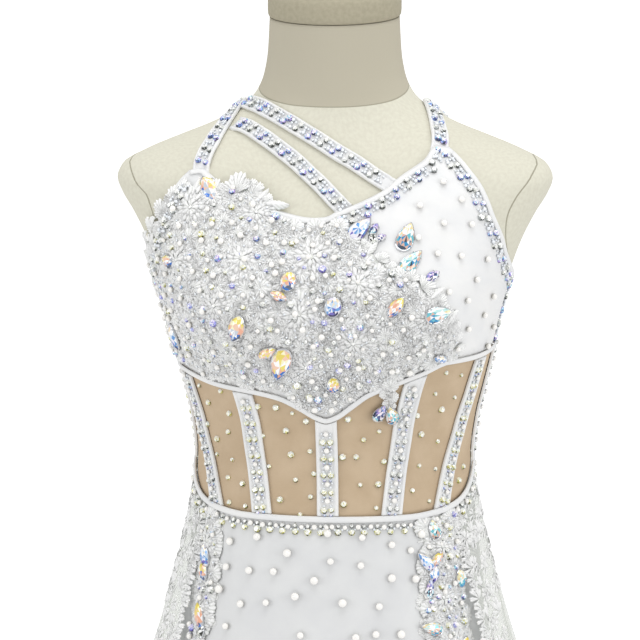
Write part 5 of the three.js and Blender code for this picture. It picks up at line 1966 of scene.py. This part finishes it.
@dataclass
class Beading:
    """Every stone, pearl and bead on the dress."""

    seed: int = 5
    pair_pitch: float = 11.0
    strip_pitch: float = 12.75
    waist_pitch: float = 11.6
    crystal_levels: Rows = ((1.9, 0.0, 0), (2.0, 0.35, 0), (1.45, 0.8, 1), (0.95, 1.0, 0))
    stone_levels: Rows = ((0.98, 0.0, 0), (1.0, 1.4, 0), (0.8, 3.0, 1), (0.52, 3.9, 0))
    stone_tip: float = 4.1

    def __post_init__(self) -> None:
        """Draws the small templates once. Small crystals have a radius of 1 before they are scaled."""
        self.rng = np.random.default_rng(self.seed)
        self.crystal = gem(Cut.ROUND, 8, self.crystal_levels, 1.02)
        self.pearl = ball(6, 12, 0.92)
        self.seed_bead = ball(3, 7, 0.85)
        self.crystals: list[Shape] = []
        self.pearls: list[Shape] = []
        self.beads: list[Shape] = []

    def shaken(self, spots: Spots, by: float, sizes: float = 0.12) -> Spots:
        """Moves spots a little at random and varies their sizes."""
        n = len(spots)
        return Spots(
            spots.angle + self.rng.uniform(-by, by, n) / Line.STRETCH,
            spots.height + self.rng.uniform(-by, by, n),
            spots.size * self.rng.uniform(1 - sizes, 1 + sizes, n),
            self.rng.uniform(0, 360, n),
        )

    def add_crystals(self, spots: Spots, hue: Hue, lift: float, surface: Surface = BODY) -> None:
        """Adds small round crystals."""
        placed = set_on(self.crystal, spots, surface, lift)
        placed.tint_and_reflection = speckled(self.crystal, spots.turn, hue, self.rng)
        self.crystals.append(placed)

    def add_pearls(self, spots: Spots, lift: float, surface: Surface = BODY) -> None:
        """Adds pearls."""
        self.pearls.append(set_on(self.pearl, spots, surface, lift))

    def add_beads(self, spots: Spots, lift: float, surface: Surface = BODY) -> None:
        """Adds seed beads."""
        self.beads.append(set_on(self.seed_bead, spots, surface, lift))

    def double_row(self, track: Track, start: float, end: float, middle: float, half: float, lift: float,
                   hue: Hue = Hue.AURORA) -> None:
        """Two rows of crystals in slanted pairs with beads between them, along a track.

        Args:
            track: The line that they follow.
            start, end: The stretch that they cover.
            middle, half: How far to the track's left the rows' middle is, and half their distance.
            lift: The cloth's face.
            hue: The crystals' colours.
        """
        along = np.arange(start, end, self.pair_pitch)
        for side in (-1, 1):
            for first, kind in ((0, hue), (1, Hue.CLEAR)):
                row = track.spots(along[first::2] + 1.2 * side, middle + side * half, 2.5)
                self.add_crystals(self.shaken(row, 0.5), kind, lift)
            for step, size in ((0.5, 1.45), (0.3, 0.95), (0.72, 1.0)):
                at = along + self.pair_pitch * step - 0.5 * side
                row = track.spots(at, middle + side * half * 0.95, size)
                self.add_beads(self.shaken(row, 0.6), lift)
        self.add_beads(self.shaken(track.spots(along + self.pair_pitch * 0.5, middle, 1.1), 0.5), lift)

    def straps(self) -> None:
        """Double rows along the straps and inside the plain cup's edges."""
        lift = BASE_FACE
        for strap in Bodice().straps():
            self.double_row(strap.track, 4, strap.track.length - 3, 0, 2.5, lift)
        neck = Track(BODY, rows_of(neckline, 3, 60))
        self.double_row(neck, 2, neck.length - 4, -8.2, 2.4, lift)
        armhole = Track(BODY, PLAIN_SIDE_ARMHOLE)
        self.double_row(armhole, 12, armhole.length - 12, 8.2, 2.4, lift)
        for side in (-1, 1):
            seam = Track(BODY, ((side * 91, 84), (side * 90.5, 128)))
            self.double_row(seam, 2, seam.length, side * 3, 2.6, lift + (2 if side < 0 else 0))
        far_armhole = Track(BODY, LACE_SIDE_ARMHOLE)
        self.double_row(far_armhole, 6, far_armhole.length - 10, -8.0, 2.4, LACE_LAYER + 1.6, Hue.CLEAR)

    def strips(self) -> None:
        """Pairs of crystals on each strip, with a pearl and small beads between the pairs."""
        lift = TOP_LAYER + CLOTH
        for number, strip in enumerate(STRIPS):
            track = Track(BODY, strip.track_rows())
            along = np.arange(7, track.length - 5, self.strip_pitch)
            hue = Hue.CHAMPAGNE if number % 2 == 0 else Hue.CLEAR
            for side in (-1, 1):
                self.add_crystals(self.shaken(track.spots(along, side * 2.5, 2.35), 0.35), hue, lift)
                low = track.spots(along - 3.6, side * 2.2, 1.2)
                self.add_crystals(self.shaken(low, 0.5), Hue.AURORA, lift)
                self.add_beads(self.shaken(track.spots(along + 3.4, side * 2.4, 1.0), 0.5), lift)
                self.add_beads(self.shaken(track.spots(along + 6.4, side * 3.0, 0.9), 0.5), lift)
            self.add_pearls(self.shaken(track.spots(along + self.strip_pitch / 2, 0, 1.9), 0.3), lift)

    def waist(self) -> None:
        """Pairs under the waist's welt, a small crystal over a larger one, with pearls between."""
        step = self.waist_pitch / 1.85
        angle = np.arange(0, 360, step)
        for surface, lift, front in ((UNDER, BASE_FACE, True), (OVER, LAYER_GAP + 0.2, False)):
            at = angle[(np.abs(wrap(angle)) < SKIRT_FRONT_EDGE - 2) == front]
            for drop, size, hue in ((5.0, 1.9, Hue.CLEAR), (9.4, 2.7, Hue.CHAMPAGNE)):
                spots = Spots.of(at, waist_line(at) - drop, size)
                self.add_crystals(self.shaken(spots, 0.4), hue, lift, surface)
            mid = at + step * 0.5
            self.add_pearls(self.shaken(Spots.of(mid, waist_line(mid) - 5.6, 1.9), 0.4), lift, surface)
            for shift in (0.28, 0.72):
                mid = at + step * shift
                self.add_beads(self.shaken(Spots.of(mid, waist_line(mid) - 7.2, 1.0), 0.5), lift, surface)

    def on_cloth(self) -> None:
        """Pearls on the plain cup and the skirt's front, small stones on the mesh, and like ones behind."""
        face = BASE_FACE
        self.add_pearls(Spots.of(*np.array(CUP_PEARLS).T, 2.35), face)
        self.add_pearls(self.shaken(Spots.of(*np.array(SKIRT_PEARLS).T, 2.9), 0), face, UNDER)
        stones = self.shaken(Spots.of(*np.array(MESH_STONES).T, 2.2), 0, 0.25)
        self.add_crystals(stones, Hue.CHAMPAGNE, face)
        low = [(100, 12), (260, 12), (260, 68), (100, 68)]
        behind = self.shaken(scattered(low, 15, self.rng), 0, 0.25)
        behind.size *= 2.2
        self.add_crystals(behind, Hue.CHAMPAGNE, face)
        lower = scattered([(-48, -140), (48, -140), (60, -206), (-60, -206)], 24, self.rng)
        lower.size *= 2.8
        self.add_pearls(lower, face, UNDER)
        band = scattered([(104, 86), (256, 86), (256, 112), (104, 112)], 16, self.rng)
        band.size *= 2.3
        self.add_pearls(band, face)

    def on_lace(self) -> None:
        """Crystals, pearls and beads scattered over the lace, clear of the large stones."""
        areas = ((BODICE_LACE, BODICE_STONES), (HIP_LACE[0], HIP_STONES), (HIP_LACE[1], HIP_STONES))
        for area, stones in areas:
            large = Spots.of(*np.array([(s.angle, s.height, s.length) for s in stones]).T)
            lift = LACE_LAYER + 1.9
            spots = scattered(area.outline, area.stones, self.rng, large, 0.62)
            spots.size = self.rng.choice([1.6, 2.0, 2.4, 3.0], len(spots), p=[0.3, 0.3, 0.3, 0.1])
            kinds = self.rng.choice(4, len(spots), p=[0.4, 0.2, 0.15, 0.25])
            for kind, hue in enumerate((Hue.CLEAR, Hue.AURORA, Hue.LILAC, Hue.CHAMPAGNE)):
                self.add_crystals(spots.only(kinds == kind), hue, lift, area.surface)
            pearls = scattered(area.outline, 14.0, self.rng, large, 0.62)
            pearls.size = self.rng.uniform(1.4, 2.4, len(pearls))
            self.add_pearls(pearls, lift - 0.2, area.surface)
            middles = Spots.of(*np.array(area.flowers)[:, :2].T, 1.9)
            self.add_crystals(middles, Hue.CLEAR, lift, area.surface)
            seeds = scattered(area.outline, 6.0, self.rng, large, 0.5)
            seeds.size = self.rng.uniform(0.6, 1.0, len(seeds))
            self.add_beads(seeds, lift - 0.1, area.surface)

    def large(self) -> None:
        """The large stones in their settings: a tray with four claws under each."""
        stones, settings = [], []
        groups = (
            (BODICE_STONES, BODY, LACE_LAYER + 2.5), (HIP_STONES, UNDER, LACE_LAYER + 2.2),
            (HANGING_STONES, BODY, TOP_LAYER + CLOTH + 0.6),
        )
        for group, surface, lift in groups:
            for s in group:
                spot = Spots.of(s.angle, s.height, 1.0, s.turn)
                on_satin = surface is BODY and not inside(BODICE_LACE.outline, spot.angle, spot.height)[0]
                at = BASE_FACE if on_satin and group is BODICE_STONES else lift
                scale = np.array([s.width, s.length, 1])
                body = gem(s.cut, 12, self.stone_levels, self.stone_tip)
                body.points = body.points * scale
                placed = set_on(body, spot, surface, at)
                placed.tint_and_reflection = zoned(body, s.turn, s.hue, self.rng)
                stones.append(placed)
                tray = gem(s.cut, 24, ((1.08, 0.0, 0), (1.09, 1.0, 0), (1.03, 1.5, 0), (0.98, 1.4, 0)), 1.3)
                tray.points = tray.points * scale
                claw = gem(Cut.ROUND, 6, ((1.5, 0.0, 0), (1.3, 1.6, 0), (0.8, 2.5, 0)), 2.7)
                places = s.cut.outline(np.radians([35, 145, 215, 325])) * (s.width, s.length) * 1.02
                claws = [Shape(claw.points + (*place, 0), claw.faces, claw.smooth) for place in places]
                settings.append(set_on(Shape.joined([tray, *claws]), spot, surface, at))
        Shape.joined(stones).build("large_stones", CRYSTAL)
        Shape.joined(settings).build("stone_settings", TIN)

    def build(self) -> None:
        """Places everything, then joins each kind into one piece."""
        self.straps()
        self.strips()
        self.waist()
        self.on_cloth()
        self.on_lace()
        self.large()
        Shape.joined(self.crystals).build("small_crystals", CRYSTAL)
        Shape.joined(self.pearls).build("pearls", PEARL)
        Shape.joined(self.beads).build("seed_beads", BEAD)


# The studio


@dataclass
class Studio:
    """A pale floor, soft light and the camera at the photograph's angle and distance."""

    azimuth: float = 4.5
    elevation: float = 8.0
    distance: float = 2100.0
    mm_per_pixel: float = 0.75
    pixels: float = 640.0
    sensor: float = 36.0
    # Where the waist's centre shows in the photograph, in its pixels.
    waist_pixel: tuple[float, float] = (334.5, 448.0)
    floor_size: float = 400.0
    # The soft boxes: name, place in metres, side in metres and power in watts.
    boxes: tuple[tuple[str, Sequence[float], float, float], ...] = (
        ("overhead_box", (0.2, -0.5, 3.2), 1.8, 25), ("left_box", (-2.3, -1.5, 1.3), 1.4, 13),
        ("right_box", (2.4, -1.5, 1.4), 1.4, 17),
    )
    aim: Sequence[float] = (0, 0, 1.0)

    def camera(self) -> None:
        """Aims the camera so that the waist's centre falls on its pixel."""
        a, e = math.radians(self.azimuth), math.radians(self.elevation)
        right = np.array([math.cos(a), math.sin(a), 0])
        back = np.array([math.sin(a) * math.cos(e), -math.cos(a) * math.cos(e), math.sin(e)])
        across, down = (p - self.pixels / 2 for p in self.waist_pixel)
        aim = np.array([0, 0, WAIST_HEIGHT + down * self.mm_per_pixel / math.cos(e)])
        aim = aim - right * across * self.mm_per_pixel
        data = bpy.data.cameras.new("camera")
        data.sensor_width = self.sensor
        data.lens = self.distance / self.mm_per_pixel / self.pixels * self.sensor
        data.clip_end = 200
        camera = bpy.data.objects.new("camera", data)
        camera.location = Vector((aim + back * self.distance) * MM)
        camera.rotation_euler = (-Vector(back)).to_track_quat("-Z", "Y").to_euler()
        bpy.context.scene.collection.objects.link(camera)
        bpy.context.scene.camera = camera

    def floor(self) -> None:
        """A wide white floor, just under the base."""
        half = self.floor_size / 2
        mesh = bpy.data.meshes.new("studio_floor")
        corners = [(-half, -half, 0), (half, -half, 0), (half, half, 0), (-half, half, 0)]
        mesh.from_pydata(corners, [], [(0, 1, 2, 3)])
        floor = bpy.data.objects.new("studio_floor", mesh)
        floor.location.z = -0.0005
        bpy.context.scene.collection.objects.link(floor)
        material = bpy.data.materials.new("white_studio_paper")
        material.use_nodes = True
        shader = material.node_tree.nodes["Principled BSDF"]
        shader.inputs["Base Color"].default_value = linear("#F8F8F8")
        shader.inputs["Roughness"].default_value = 0.9
        shader.inputs["Emission Color"].default_value = (1, 1, 1, 1)
        shader.inputs["Emission Strength"].default_value = 0.5
        mesh.materials.append(material)
        # The photograph's white is a cut-out: its floor throws no light up at the dress.
        floor.visible_diffuse = False
        floor.visible_glossy = False

    def light(self, name: str, place: Sequence[float], size: float, power: float) -> None:
        """A square soft box, aimed at the dress."""
        data = bpy.data.lights.new(name, "AREA")
        data.shape = "SQUARE"
        data.size = size
        data.energy = power
        lamp = bpy.data.objects.new(name, data)
        lamp.location = place
        lamp.rotation_euler = (Vector(self.aim) - Vector(place)).to_track_quat("-Z", "Y").to_euler()
        bpy.context.scene.collection.objects.link(lamp)

    def lights(self) -> None:
        """A large overhead box, one at each side, and a white room, a little brighter below the horizon."""
        for box in self.boxes:
            self.light(*box)
        world = bpy.data.worlds.new("white_room")
        world.use_nodes = True
        tree = world.node_tree
        towards = add_node(tree, "TexCoord").outputs["Generated"]
        height = add_node(tree, "SeparateXYZ", {}, {"Vector": towards}).outputs["Z"]
        strength = add_node(
            tree, "MapRange", {"interpolation_type": "SMOOTHSTEP"},
            {"Value": height, "From Min": -0.5, "From Max": 0.4, "To Min": 1.0, "To Max": 0.7},
        )
        sky = tree.nodes["Background"]
        sky.inputs["Color"].default_value = (1, 1, 1, 1)
        tree.links.new(strength.outputs["Result"], sky.inputs["Strength"])
        bpy.context.scene.world = world

    def build(self) -> None:
        """Sets up the whole studio. The plain view transform keeps whites white."""
        bpy.context.scene.view_settings.view_transform = "Standard"
        self.camera()
        self.floor()
        self.lights()


def main() -> None:
    """Builds every sub-assembly in order."""
    logging.basicConfig(level=logging.INFO, format="%(name)s: %(message)s")
    for assembly in (Studio(), DressForm(), Bodice(), Midriff(), Skirts(), Applique(), Beading()):
        assembly.build()


if __name__ == "__main__":
    main()
